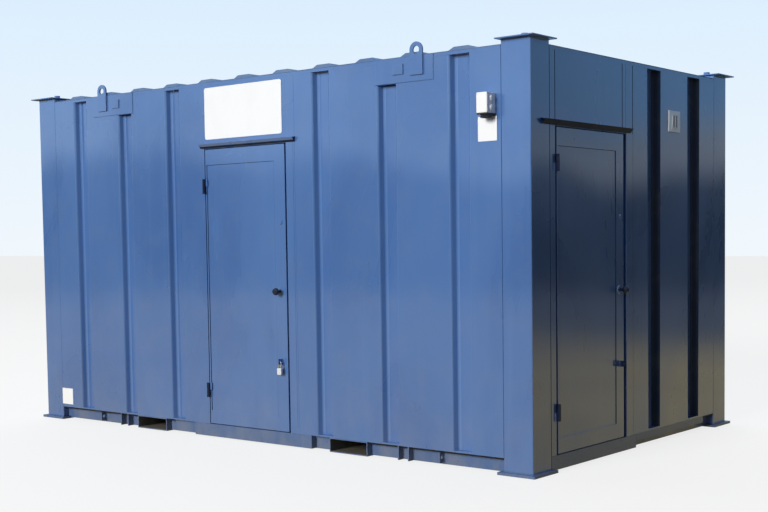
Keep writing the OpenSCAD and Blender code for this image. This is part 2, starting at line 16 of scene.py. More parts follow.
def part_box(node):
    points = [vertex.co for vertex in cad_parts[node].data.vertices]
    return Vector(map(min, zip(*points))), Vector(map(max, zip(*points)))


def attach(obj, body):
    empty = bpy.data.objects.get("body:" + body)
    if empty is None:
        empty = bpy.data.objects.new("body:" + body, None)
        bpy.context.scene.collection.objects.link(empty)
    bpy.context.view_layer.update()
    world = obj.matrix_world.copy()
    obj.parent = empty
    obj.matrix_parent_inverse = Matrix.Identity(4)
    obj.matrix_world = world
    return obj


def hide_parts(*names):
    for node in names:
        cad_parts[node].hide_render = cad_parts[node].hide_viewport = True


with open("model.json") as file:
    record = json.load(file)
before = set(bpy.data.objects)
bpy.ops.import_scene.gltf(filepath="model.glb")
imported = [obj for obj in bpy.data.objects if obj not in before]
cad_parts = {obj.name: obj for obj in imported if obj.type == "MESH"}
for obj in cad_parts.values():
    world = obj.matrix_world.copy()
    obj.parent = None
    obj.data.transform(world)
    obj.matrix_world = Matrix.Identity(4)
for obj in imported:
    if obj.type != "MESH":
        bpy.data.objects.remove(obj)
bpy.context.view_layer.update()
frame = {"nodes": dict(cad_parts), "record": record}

LOG = logging.getLogger("cabin")
Colour = tuple[float, float, float]
Point = Sequence[float]

MERGE = 1e-5


class Facing(Enum):
    """The four walls, each with the turn that brings the front wall's frame to it."""

    FRONT = 0.0
    SIDE = 90.0
    BACK = 180.0
    LEFT = 270.0


HALF = Vector((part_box("post_front_right")[1].x, -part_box("post_front_right")[0].y, 0.0))


@dataclass(frozen=True)
class Span:
    """A reach in a wall's own frame: u to the right from outside, v into the cabin, z up."""

    u: tuple[float, float]
    v: tuple[float, float]
    z: tuple[float, float]

    @classmethod
    def of(cls, node: str, facing: Facing) -> "Span":
        """The reach of a CAD node in the frame of a wall."""
        low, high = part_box(node)
        if facing in (Facing.FRONT, Facing.BACK):
            sign = 1 if facing is Facing.FRONT else -1
            u, v, half = (low.x, high.x), (low.y, high.y), HALF.y
        else:
            sign = 1 if facing is Facing.SIDE else -1
            u, v, half = (low.y, high.y), (-high.x, -low.x), HALF.x
        u = tuple(sorted(value * sign for value in u))
        v = tuple(sorted(value * sign + half for value in v))
        return cls(u, v, (low.z, high.z))


# --------------------------------------------------------------------------- finishes


def linear(red: int, green: int, blue: int) -> Colour:
    """Turns a colour in everyday 0 to 255 values into the linear one that shaders take.

    Args:
        red: Red, 0 to 255.
        green: Green, 0 to 255.
        blue: Blue, 0 to 255.

    Returns:
        The linear colour.
    """

    def one(value: int) -> float:
        """One channel."""
        share = value / 255
        return share / 12.92 if share <= 0.04045 else ((share + 0.055) / 1.055) ** 2.4

    return one(red), one(green), one(blue)


class NodeSheet:
    """A node tree while it is drawn up: a material on the piece's own coordinates, or a sky."""

    def __init__(self, name: str, sky: bool = False) -> None:
        """Starts an empty tree with its coordinates and an output.

        Args:
            name: The name of the material or sky.
            sky: Whether it is the sky, which is drawn on directions.
        """
        self.owner = (bpy.data.worlds if sky else bpy.data.materials).new(name)
        self.owner.use_nodes = True
        self.tree = self.owner.node_tree
        self.tree.nodes.clear()
        self.output = self.add("ShaderNodeOutputWorld" if sky else "ShaderNodeOutputMaterial")
        self.place = self.add("ShaderNodeTexCoord").outputs["Generated" if sky else "Object"]

    def add(self, kind: str, **settings: object) -> bpy.types.Node:
        """Adds a node.

        Args:
            kind: The node's type name.
            settings: Properties to set on it.

        Returns:
            The new node.
        """
        node = self.tree.nodes.new(kind)
        for key, value in settings.items():
            setattr(node, key, value)
        return node

    def join(self, source: object, target: bpy.types.NodeSocket) -> None:
        """Links a socket to the target, or sets the target's own value."""
        if isinstance(source, bpy.types.NodeSocket):
            self.tree.links.new(source, target)
        elif isinstance(source, tuple):
            target.default_value = (*source, 1.0)[: len(target.default_value)]
        else:
            target.default_value = source

    def stretched(self, scale: Point, shift: Point = (0, 0, 0)) -> bpy.types.NodeSocket:
        """The piece's coordinates, scaled along each axis."""
        node = self.add("ShaderNodeMapping")
        self.join(self.place, node.inputs["Vector"])
        node.inputs["Scale"].default_value = scale
        node.inputs["Location"].default_value = shift
        return node.outputs["Vector"]

    def noise(self, scale: float, detail: float = 3.0, rough: float = 0.55,
              stretch: Point = (1, 1, 1), shift: Point = (0, 0, 0),
              twist: float = 0.0) -> bpy.types.NodeSocket:
        """A cloudy pattern.

        Args:
            scale: Size of the clouds, per metre.
            detail: Octaves of finer clouds.
            rough: Share of each finer octave.
            stretch: Scale along each axis.
            shift: Offset, so that two patterns differ.
            twist: How far the pattern bends itself.

        Returns:
            A value round one half.
        """
        node = self.add("ShaderNodeTexNoise")
        self.join(self.stretched(stretch, shift), node.inputs["Vector"])
        node.inputs["Scale"].default_value = scale
        node.inputs["Detail"].default_value = detail
        node.inputs["Roughness"].default_value = rough
        node.inputs["Distortion"].default_value = twist
        return node.outputs["Fac"]

    def cells(self, scale: float, stretch: Point = (1, 1, 1)) -> bpy.types.NodeSocket:
        """Distance to scattered points."""
        node = self.add("ShaderNodeTexVoronoi")
        self.join(self.stretched(stretch), node.inputs["Vector"])
        node.inputs["Scale"].default_value = scale
        return node.outputs["Distance"]

    def ease(self, value: object, low: float, high: float, start: float = 0.0,
             end: float = 1.0) -> bpy.types.NodeSocket:
        """A smooth step of a value.

        Args:
            value: What is stepped.
            low: Where the step starts.
            high: Where it ends.
            start: Result before the step.
            end: Result after it.

        Returns:
            The stepped value.
        """
        node = self.add("ShaderNodeMapRange", interpolation_type="SMOOTHSTEP")
        for name, given in (("Value", value), ("From Min", low), ("From Max", high),
                            ("To Min", start), ("To Max", end)):
            self.join(given, node.inputs[name])
        return node.outputs["Result"]

    def sum(self, one: object, two: object, how: str = "ADD") -> bpy.types.NodeSocket:
        """Two values put together by a named sum."""
        node = self.add("ShaderNodeMath", operation=how)
        self.join(one, node.inputs[0])
        self.join(two, node.inputs[1])
        return node.outputs[0]

    def times(self, one: object, two: object) -> bpy.types.NodeSocket:
        """The product of two values."""
        return self.sum(one, two, "MULTIPLY")

    def blend(self, share: object, under: object, over: object) -> bpy.types.NodeSocket:
        """One colour laid over another.

        Args:
            share: How much of the upper colour shows.
            under: The lower colour.
            over: The upper colour.

        Returns:
            The blended colour.
        """
        node = self.add("ShaderNodeMix", data_type="RGBA")
        self.join(share, node.inputs[0])
        self.join(under, node.inputs[6])
        self.join(over, node.inputs[7])
        return node.outputs[2]

    def part(self, which: str) -> bpy.types.NodeSocket:
        """One coordinate of the piece."""
        node = self.add("ShaderNodeSeparateXYZ")
        self.join(self.place, node.inputs[0])
        return node.outputs[which]

    def bump(self, height: object, depth: float,
             under: Optional[bpy.types.NodeSocket] = None) -> bpy.types.NodeSocket:
        """A relief.

        Args:
            height: The pattern, 0 to 1.
            depth: Its real depth in metres.
            under: A coarser relief that this one lies on.

        Returns:
            The normal.
        """
        node = self.add("ShaderNodeBump")
        node.inputs["Distance"].default_value = depth
        self.join(height, node.inputs["Height"])
        if under is not None:
            self.join(under, node.inputs["Normal"])
        return node.outputs["Normal"]

    def finish(self, colour: object, roughness: object, normal: Optional[bpy.types.NodeSocket],
               **plain: float) -> bpy.types.Material:
        """Closes the tree with the surface shader.

        Args:
            colour: The colour or its pattern.
            roughness: The roughness or its pattern.
            normal: The relief.
            plain: Values that hold all over, by socket name with underscores.

        Returns:
            The material.
        """
        shader = self.add("ShaderNodeBsdfPrincipled")
        self.join(colour, shader.inputs["Base Color"])
        self.join(roughness, shader.inputs["Roughness"])
        if normal is not None:
            self.join(normal, shader.inputs["Normal"])
        for name, value in plain.items():
            shader.inputs[name.replace("_", " ")].default_value = value
        self.join(shader.outputs["BSDF"], self.output.inputs["Surface"])
        return self.owner

    def glow(self, kind: str, colour: object, strength: object = 1.0) -> bpy.types.NodeSocket:
        """A shader of one colour.

        Args:
            kind: The node's type name.
            colour: Its colour.
            strength: Its strength, where it has one.

        Returns:
            The shader.
        """
        node = self.add(kind)
        self.join(colour, node.inputs["Color"])
        if "Strength" in node.inputs:
            self.join(strength, node.inputs["Strength"])
        return node.outputs[0]

    def either(self, share: object, one: object, two: object) -> bpy.types.NodeSocket:
        """A mix of two shaders."""
        node = self.add("ShaderNodeMixShader")
        for given, target in zip((share, one, two), node.inputs):
            self.join(given, target)
        return node.outputs[0]

    def seen(self) -> bpy.types.NodeSocket:
        """1 for rays from the camera, from gloss and through glass, and 0 for lighting rays."""
        path = self.add("ShaderNodeLightPath")
        both = self.sum(path.outputs["Is Camera Ray"], path.outputs["Is Glossy Ray"], "MAXIMUM")
        return self.sum(both, path.outputs["Is Transmission Ray"], "MAXIMUM")


@dataclass(frozen=True)
class Paint:
    """Gloss paint on steel sheet: gentle waves in the sheet, fading, dust, scratches and chips."""

    name: str
    colour: Colour
    faded: Colour
    dust: Colour = linear(150, 146, 136)
    rust: Colour = linear(104, 66, 42)
    roughness: float = 0.24
    coat: float = 1.0
    specular: float = 0.5
    wave: float = 0.0024
    dusting: float = 0.2
    dust_top: float = 0.55
    chipping: float = 0.25

    def build(self) -> bpy.types.Material:
        """Draws up the material."""
        sheet = NodeSheet(self.name)
        clouds = sheet.ease(sheet.noise(0.8, 4, 0.6, (1, 1, 0.7), twist=0.9), 0.36, 0.66)
        runs = sheet.ease(sheet.noise(1.0, 4, 0.6, (14, 14, 0.4), (3, 1, 0)), 0.5, 0.76)
        blotch = sheet.ease(sheet.noise(6.0, 4, 0.62, shift=(9, 4, 2)), 0.42, 0.72)
        tone = sheet.blend(sheet.times(clouds, 0.4), self.colour, self.faded)
        tone = sheet.blend(sheet.times(runs, 0.22), tone, self.faded)
        tone = sheet.blend(sheet.times(blotch, 0.05), tone, self.dust)
        low = sheet.ease(sheet.part("Z"), 0.0, self.dust_top, 1.0, 0.0)
        splash = sheet.times(low, sheet.ease(sheet.noise(5.0, 6, 0.68, (1, 1, 0.5)), 0.3, 0.75))
        tone = sheet.blend(sheet.times(splash, self.dusting), tone, self.dust)
        marks = sheet.noise(2.2, 2, 0.5, (70, 70, 1.5), (5, 5, 5))
        across = sheet.noise(2.6, 2, 0.5, (2, 2, 75), (7, 3, 9))
        scratch = sheet.sum(sheet.ease(marks, 0.742, 0.76), sheet.ease(across, 0.752, 0.77),
                            "MAXIMUM")
        tone = sheet.blend(sheet.times(scratch, 0.45), tone, self.faded)
        near_ground = sheet.ease(sheet.part("Z"), 0.02, 0.3, 0.09, 0.0)
        bits = sheet.sum(sheet.noise(38.0, 5, 0.7, shift=(1, 7, 3)), near_ground)
        chips = sheet.times(sheet.ease(bits, 0.725, 0.74), self.chipping)
        tone = sheet.blend(chips, tone, self.rust)
        rough = sheet.sum(sheet.ease(clouds, 0.0, 1.0, self.roughness, self.roughness + 0.08),
                          sheet.times(sheet.sum(splash, chips), 0.3))
        swell = sheet.noise(1.0, 3, 0.42, (1.5, 1.5, 0.75), (2, 2, 2), 0.7)
        relief = sheet.bump(swell, self.wave)
        relief = sheet.bump(sheet.noise(9.0, 2, 0.5, (1, 1, 0.6)), 0.00022, relief)
        relief = sheet.bump(sheet.noise(420.0, 2, 0.6), 0.00002, relief)
        relief = sheet.bump(sheet.sum(1.0, chips, "SUBTRACT"), 0.0002, relief)
        return sheet.finish(tone, rough, relief, Coat_Weight=self.coat, Coat_Roughness=0.06,
                            Specular_IOR_Level=self.specular)


@dataclass(frozen=True)
class Metal:
    """Bare bright metal with fine turning marks, smears and dull spots."""

    name: str
    colour: Colour
    dull: Colour
    roughness: float = 0.22
    metallic: float = 1.0
    grain: Point = (1.0, 1.0, 12.0)

    def build(self) -> bpy.types.Material:
        """Draws up the material."""
        sheet = NodeSheet(self.name)
        smear = sheet.ease(sheet.noise(30.0, 4, 0.6), 0.35, 0.7)
        spots = sheet.ease(sheet.noise(160.0, 3, 0.65, shift=(4, 4, 4)), 0.6, 0.72)
        tone = sheet.blend(sheet.times(smear, 0.5), self.colour, self.dull)
        tone = sheet.blend(sheet.times(spots, 0.45), tone, self.dull)
        rough = sheet.sum(sheet.ease(smear, 0.0, 1.0, self.roughness, self.roughness + 0.14),
                          sheet.times(spots, 0.2))
        relief = sheet.bump(sheet.noise(260.0, 2, 0.5, self.grain), 0.00004)
        return sheet.finish(tone, rough, relief, Metallic=self.metallic)


@dataclass(frozen=True)
class Moulding:
    """Moulded plastic, rubber or coated sheet, with handling marks, runs and specks of grime."""

    name: str
    colour: Colour
    grime: Colour
    roughness: float = 0.38
    grain: float = 0.00003
    grain_size: float = 900.0
    soiling: float = 0.25
    coat: float = 0.0

    def build(self) -> bpy.types.Material:
        """Draws up the material."""
        sheet = NodeSheet(self.name)
        clouds = sheet.ease(sheet.noise(6.0, 5, 0.62, (1, 1, 0.7)), 0.36, 0.74)
        runs = sheet.ease(sheet.noise(1.0, 5, 0.6, (70, 70, 2.5), (3, 1, 0)), 0.52, 0.78)
        specks = sheet.ease(sheet.noise(120.0, 3, 0.7, shift=(8, 2, 6)), 0.68, 0.76)
        tone = sheet.blend(sheet.times(clouds, self.soiling * 0.6), self.colour, self.grime)
        tone = sheet.blend(sheet.times(runs, self.soiling * 0.5), tone, self.grime)
        tone = sheet.blend(sheet.times(specks, self.soiling), tone, self.grime)
        rough = sheet.sum(sheet.ease(clouds, 0.0, 1.0, self.roughness, self.roughness + 0.12),
                          sheet.times(specks, 0.15))
        relief = sheet.bump(sheet.noise(3.0, 2, 0.5, shift=(6, 1, 1)), 0.0008)
        relief = sheet.bump(sheet.noise(self.grain_size, 3, 0.6), self.grain, relief)
        return sheet.finish(tone, rough, relief, Coat_Weight=self.coat)


@dataclass(frozen=True)
class Boarding:
    """Sealed sheet board: long grain along the cabin, knots, scuffs and dusty footmarks."""

    name: str
    colour: Colour
    grain: Colour
    dust: Colour
    roughness: float = 0.42

    def build(self) -> bpy.types.Material:
        """Draws up the material."""
        sheet = NodeSheet(self.name)
        figure = sheet.ease(sheet.noise(3.2, 6, 0.62, (1, 9, 9), twist=1.6), 0.34, 0.7)
        fibre = sheet.ease(sheet.noise(9.0, 4, 0.6, (2, 60, 60)), 0.4, 0.7)
        knots = sheet.ease(sheet.cells(1.7, (1, 1.6, 1)), 0.03, 0.09, 1.0, 0.0)
        scuffs = sheet.ease(sheet.noise(4.5, 6, 0.68, shift=(2, 9, 1)), 0.46, 0.72)
        tone = sheet.blend(figure, self.colour, self.grain)
        tone = sheet.blend(sheet.times(fibre, 0.35), tone, self.grain)
        tone = sheet.blend(sheet.times(knots, 0.6), tone, self.grain)
        tone = sheet.blend(sheet.times(scuffs, 0.35), tone, self.dust)
        rough = sheet.ease(scuffs, 0.0, 1.0, self.roughness, self.roughness + 0.25)
        relief = sheet.bump(fibre, 0.0002)
        return sheet.finish(tone, rough, relief)


BLUE = Paint("blue_gloss", linear(69, 106, 165), linear(88, 127, 184))
# Lighter blue for the front's rib flanks and bends: painted highlight.
BLUE_LIT_BENDS = Paint("blue_gloss_painted_highlight", linear(84, 123, 182), linear(98, 138, 194), wave=0.001,
                  dusting=0.3)
BLUE_LEAF = Paint("blue_gloss_door", linear(71, 108, 167), linear(90, 129, 186), wave=0.002,
                  chipping=0.15)
BLUE_BASE = Paint("blue_gloss_base", linear(66, 96, 146), linear(92, 118, 158), roughness=0.32,
                  coat=0.4, wave=0.0006, dusting=0.4, dust_top=0.3, chipping=0.6)
BLUE_ROOF = Paint("blue_gloss_roof", linear(84, 112, 156), linear(128, 146, 172), roughness=0.42,
                  coat=0.2, dusting=0.0, chipping=0.3)
# Dark blue as painted shade: the gable's rib flanks and seams, the door panels' steps, the drip
# rails' hanging sides and the side door's lug.
SHADED = Paint("blue_painted_shade", linear(22, 32, 54), linear(32, 44, 66), roughness=0.6, coat=0.0,
               specular=0.2, wave=0.0004, dusting=0.0, chipping=0.4)
DARK = Paint("dark_blue_hinge", linear(17, 26, 52), linear(34, 46, 78), roughness=0.5, coat=0.1,
             specular=0.25, wave=0.0002, dusting=0.12, chipping=0.5)
KNOB = Paint("dark_gloss_knob", linear(14, 22, 44), linear(24, 36, 64), roughness=0.2,
             coat=0.15, specular=0.2, wave=0.0001, dusting=0.0, chipping=0.2)
PRIMER = Paint("dull_primer", linear(58, 60, 58), linear(84, 84, 78), roughness=0.6, coat=0.0,
               wave=0.0004, dusting=0.5, chipping=0.8)
SCRAPED = Paint("scraped_steel", linear(112, 106, 94), linear(74, 70, 64), roughness=0.5,
                coat=0.0, wave=0.0004, dusting=0.3, chipping=1.0)
WORN_EDGE = Paint("worn_blue", linear(104, 126, 160), linear(150, 156, 166), roughness=0.4,
                  coat=0.2, wave=0.0002, dusting=0.0, chipping=0.9)
BRIGHT = Metal("bright_steel", linear(222, 223, 226), linear(150, 150, 152))
BRASS = Metal("worn_brass", linear(186, 156, 94), linear(112, 92, 62), roughness=0.3)
LOCK_CASE = Moulding("bright_lock_case", linear(236, 238, 242), linear(150, 150, 154),
                     roughness=0.25, soiling=0.3, coat=0.4)
WHITE = Moulding("white_sheet", linear(252, 252, 253), linear(196, 194, 186), roughness=0.3,
                 soiling=0.1, coat=0.3)
BOX = Moulding("white_moulding", linear(253, 253, 254), linear(200, 199, 196), soiling=0.08)
CREAM = Moulding("pale_moulding", linear(250, 252, 255), linear(196, 198, 200), roughness=0.35,
                 soiling=0.1, coat=1.0)
GREY = Moulding("grey_moulding", linear(120, 124, 130), linear(78, 78, 76), roughness=0.5,
                soiling=0.4)
BLACK = Moulding("black_moulding", linear(24, 26, 30), linear(70, 68, 66), roughness=0.42,
                 soiling=0.3)
RUBBER = Moulding("black_rubber", linear(11, 14, 24), linear(44, 46, 52), roughness=0.62,
                  grain=0.00008, soiling=0.35)
LINING = Moulding("white_lining", linear(226, 226, 220), linear(176, 172, 160), roughness=0.46,
                  grain=0.00012, grain_size=260.0, soiling=0.2)
TRIM = Moulding("white_trim", linear(236, 236, 232), linear(170, 166, 156), roughness=0.4,
                soiling=0.25)
PLY = Boarding("sealed_ply", linear(142, 110, 74), linear(98, 70, 44), linear(150, 142, 128))

Finish = Paint | Metal | Moulding | Boarding
_BUILT: dict[str, bpy.types.Material] = {}


def material(finish: Finish) -> bpy.types.Material:
    """The material of a finish, drawn up once."""
    if finish.name not in _BUILT:
        _BUILT[finish.name] = finish.build()
    return _BUILT[finish.name]


# --------------------------------------------------------------------------- shaping


class Form:
    """One piece while it is shaped, with the operations that the pieces share."""

    def __init__(self, node: Optional[str] = None) -> None:
        """Starts empty, or from a merged copy of a CAD node.

        Args:
            node: The CAD node to copy.
        """
        self.bm = bmesh.new()
        if node is not None:
            self.bm.from_mesh(frame["nodes"][node].data)
            bmesh.ops.remove_doubles(self.bm, verts=self.bm.verts[:], dist=MERGE)
            bmesh.ops.dissolve_limit(self.bm, angle_limit=math.radians(0.4),
                                     verts=self.bm.verts[:], edges=self.bm.edges[:])
            for face in self.bm.faces:
                face.material_index = 0

    def block(self, low: Point, high: Point, radius: float = 0.0, steps: int = 2) -> list:
        """Adds a block with its edges rounded.

        Args:
            low: Lowest corner.
            high: Highest corner.
            radius: Radius of its edges.
            steps: Facets across each rounded edge.

        Returns:
            The block's vertices.
        """
        made = bmesh.ops.create_cube(self.bm, size=1.0)["verts"]
        size = [abs(b - a) for a, b in zip(low, high)]
        bmesh.ops.scale(self.bm, vec=size, verts=made)
        bmesh.ops.translate(self.bm, vec=(Vector(low) + Vector(high)) / 2, verts=made)
        if radius:
            edges = list({edge for vert in made for edge in vert.link_edges})
            return self.bevel(edges, radius, steps)
        return made

    def bevel(self, edges: list, radius: float, steps: int = 2) -> list:
        """Rounds edges.

        Args:
            edges: The edges.
            radius: Their radius.
            steps: Facets across each.

        Returns:
            The vertices of the rounded faces.
        """
        made = bmesh.ops.bevel(self.bm, geom=edges, offset=radius, offset_type="OFFSET",
                               segments=steps, profile=0.5, affect="EDGES",
                               clamp_overlap=True, material=-1)
        return made["verts"]

    def folds(self, angle: float = 20.0,
              wanted: Callable[[bmesh.types.BMEdge], bool] = lambda edge: True) -> list:
        """The edges where the surface turns by more than an angle.

        Args:
            angle: Least turn in degrees.
            wanted: Picks among them.

        Returns:
            The edges.
        """
        least = math.radians(angle)
        return [edge for edge in self.bm.edges if len(edge.link_faces) == 2
                and edge.calc_face_angle(0.0) > least and wanted(edge)]

    def rod(self, start: Point, end: Point, radius: float, sides: int = 20,
            tip: Optional[float] = None, chamfer: float = 0.0) -> list:
        """Adds a round bar or cone between two points.

        Args:
            start: Middle of its first end.
            end: Middle of its other end.
            radius: Radius at the first end.
            sides: Facets round it.
            tip: Radius at the other end, if it tapers.
            chamfer: Rounding of its two rims.

        Returns:
            Its vertices.
        """
        a, b = Vector(start), Vector(end)
        turn = (b - a).to_track_quat("Z", "Y").to_matrix().to_4x4()
        made = bmesh.ops.create_cone(
            self.bm, cap_ends=True, cap_tris=False, segments=sides, radius1=radius,
            radius2=radius if tip is None else tip, depth=(b - a).length,
            matrix=Matrix.Translation((a + b) / 2) @ turn)["verts"]
        if chamfer:
            rims = [e for e in {e for v in made for e in v.link_edges}
                    if any(len(f.verts) > 4 for f in e.link_faces)]
            return self.bevel(rims, chamfer, 2)
        return made

    def bead(self, start: Point, end: Point, radius: float = 0.0035,
             pitch: float = 0.007) -> None:
        """Adds a rippled weld bead, half sunk in the seam that it lies on.

        Args:
            start: Its first end.
            end: Its other end.
            radius: Its radius.
            pitch: Distance from one ripple to the next.
        """
        a, b = Vector(start), Vector(end)
        made = self.rod(a, b, radius, 6)
        along = (b - a).normalized()
        runs = [e for e in {e for v in made for e in v.link_edges}
                if abs((e.verts[1].co - e.verts[0].co).normalized().dot(along)) > 0.99]
        cuts = max(1, int((b - a).length / pitch * 2) - 1)
        new = bmesh.ops.subdivide_edges(self.bm, edges=runs, cuts=cuts, use_grid_fill=False)
        rings = {v for v in new["geom_inner"] if isinstance(v, bmesh.types.BMVert)}
        for vert in rings:
            reach = (vert.co - a).dot(along)
            foot = a + along * reach
            swell = 1.0 + 0.16 * math.cos(2 * math.pi * reach / pitch)
            vert.co = foot + (vert.co - foot) * swell

    def lathe(self, profile: Sequence[tuple[float, float]], base: Point, axis: Point,
              steps: int = 32, ring: bool = False) -> list:
        """Adds a turned shape.

        Args:
            profile: Radius and height of each point, from the axis to the axis.
            base: Where the height is 0.
            axis: The direction of height.
            steps: Facets round it.
            ring: Whether the last point joins the first, for a shape with a hole.

        Returns:
            Its vertices.
        """
        foot, up = Vector(base), Vector(axis).normalized()
        side = up.orthogonal().normalized()
        points = [self.bm.verts.new(foot + up * h + side * r) for r, h in profile]
        closing = [(points[-1], points[0])] if ring else []
        lines = [self.bm.edges.new(pair) for pair in [*pairwise(points), *closing]]
        known = set(self.bm.verts) - set(points)
        bmesh.ops.spin(self.bm, geom=points + lines, cent=foot, axis=up, angle=2 * math.pi,
                       steps=steps, use_merge=True, use_duplicate=False)
        made = [v for v in self.bm.verts if v not in known]
        bmesh.ops.remove_doubles(self.bm, verts=made, dist=1e-6)
        made = [v for v in self.bm.verts if v not in known]
        faces = list({f for v in made for f in v.link_faces})
        bmesh.ops.recalc_face_normals(self.bm, faces=faces)
        return made

    def sheet(self, outline: Sequence[Point], thick: Point) -> list:
        """Adds a flat plate from its outline.

        Args:
            outline: Its corners in order.
            thick: The step from one face to the other.

        Returns:
            Its vertices.
        """
        corners = [self.bm.verts.new(point) for point in outline]
        face = self.bm.faces.new(corners)
        made = bmesh.ops.extrude_face_region(self.bm, geom=[face])["geom"]
        far = [v for v in made if isinstance(v, bmesh.types.BMVert)]
        bmesh.ops.translate(self.bm, vec=Vector(thick), verts=far)
        verts = corners + far
        faces = list({f for v in verts for f in v.link_faces})
        bmesh.ops.recalc_face_normals(self.bm, faces=faces)
        return verts

    def keep(self, wanted: Callable[[Vector], bool]) -> None:
        """Drops the corners that aren't wanted, with all that hangs on them."""
        spare = [vert for vert in self.bm.verts if not wanted(vert.co)]
        bmesh.ops.delete(self.bm, geom=spare, context="VERTS")

    def tinted(self, verts: Iterable, index: int) -> None:
        """Gives the faces of some corners another of the piece's finishes."""
        for face in {face for vert in verts for face in vert.link_faces}:
            face.material_index = index

    def join(self, other: "Form") -> None:
        """Takes over everything of another form."""
        mesh = bpy.data.meshes.new("joined")
        other.bm.to_mesh(mesh)
        other.bm.free()
        self.bm.from_mesh(mesh)
        bpy.data.meshes.remove(mesh)

    def place(self, facing: Facing) -> None:
        """Moves everything made in a wall's own frame to its place on the cabin."""
        reach = HALF.y if facing in (Facing.FRONT, Facing.BACK) else HALF.x
        turn = Matrix.Rotation(math.radians(facing.value), 4, "Z")
        bmesh.ops.transform(self.bm, matrix=turn @ Matrix.Translation((0, -reach, 0)),
                            verts=self.bm.verts[:])

    def paint_faces(self, index: int, wanted: Callable[[bmesh.types.BMFace], bool]) -> None:
        """Gives some faces another of the piece's finishes."""
        for face in self.bm.faces:
            if wanted(face):
                face.material_index = index

    def done(self, name: str, finishes: Finish | Sequence[Finish], body: str = "cabin",
             slot: str = "blue_paint", replaces: Iterable[str] = (),
             smooth: float = 32.0) -> bpy.types.Object:
        """Turns the form into a piece of the cabin.

        Args:
            name: The piece's name.
            finishes: Its finish, or its finishes in the order that faces name them.
            body: The body that it rides.
            slot: The material slot that it stands for; not used.
            replaces: The CAD nodes that it stands for.
            smooth: Widest turn that still shades as round, in degrees.

        Returns:
            The piece.
        """
        self.bm.normal_update()
        for face in self.bm.faces:
            face.smooth = True
        for edge in self.bm.edges:
            edge.smooth = len(edge.link_faces) == 2 \
                and edge.calc_face_angle(0.0) < math.radians(smooth)
        mesh = bpy.data.meshes.new(name)
        self.bm.to_mesh(mesh)
        self.bm.free()
        inherited = mesh.attributes.get("custom_normal")
        if inherited is not None:
            mesh.attributes.remove(inherited)
        for finish in finishes if isinstance(finishes, (list, tuple)) else [finishes]:
            mesh.materials.append(material(finish))
        piece = bpy.data.objects.new(name, mesh)
        bpy.context.scene.collection.objects.link(piece)
        even = piece.modifiers.new("even_normals", "WEIGHTED_NORMAL")
        even.keep_sharp = True
        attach(piece, body)
        for node in replaces:
            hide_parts(node)
        LOG.info("%s: %d faces on %s", name, len(mesh.polygons), body)
        return piece


def dress(node: str, *finishes: Finish) -> None:
    """Gives a CAD node that stays its finish."""
    slots = frame["nodes"][node].data.materials
    slots.clear()
    for finish in finishes:
        slots.append(material(finish))
    LOG.info("%s: dressed in %s", node, finishes[0].name)


# --------------------------------------------------------------------------- the shell


def slot_of(node: str) -> str:
    """The material slot that the record gives a CAD node."""
    return next(part["material_slot"] for part in frame["record"]["subparts"]
                if part["node"] == node)


def upright(edge: bmesh.types.BMEdge) -> bool:
    """Whether an edge stands upright."""
    return abs((edge.verts[1].co - edge.verts[0].co).normalized().z) > 0.99


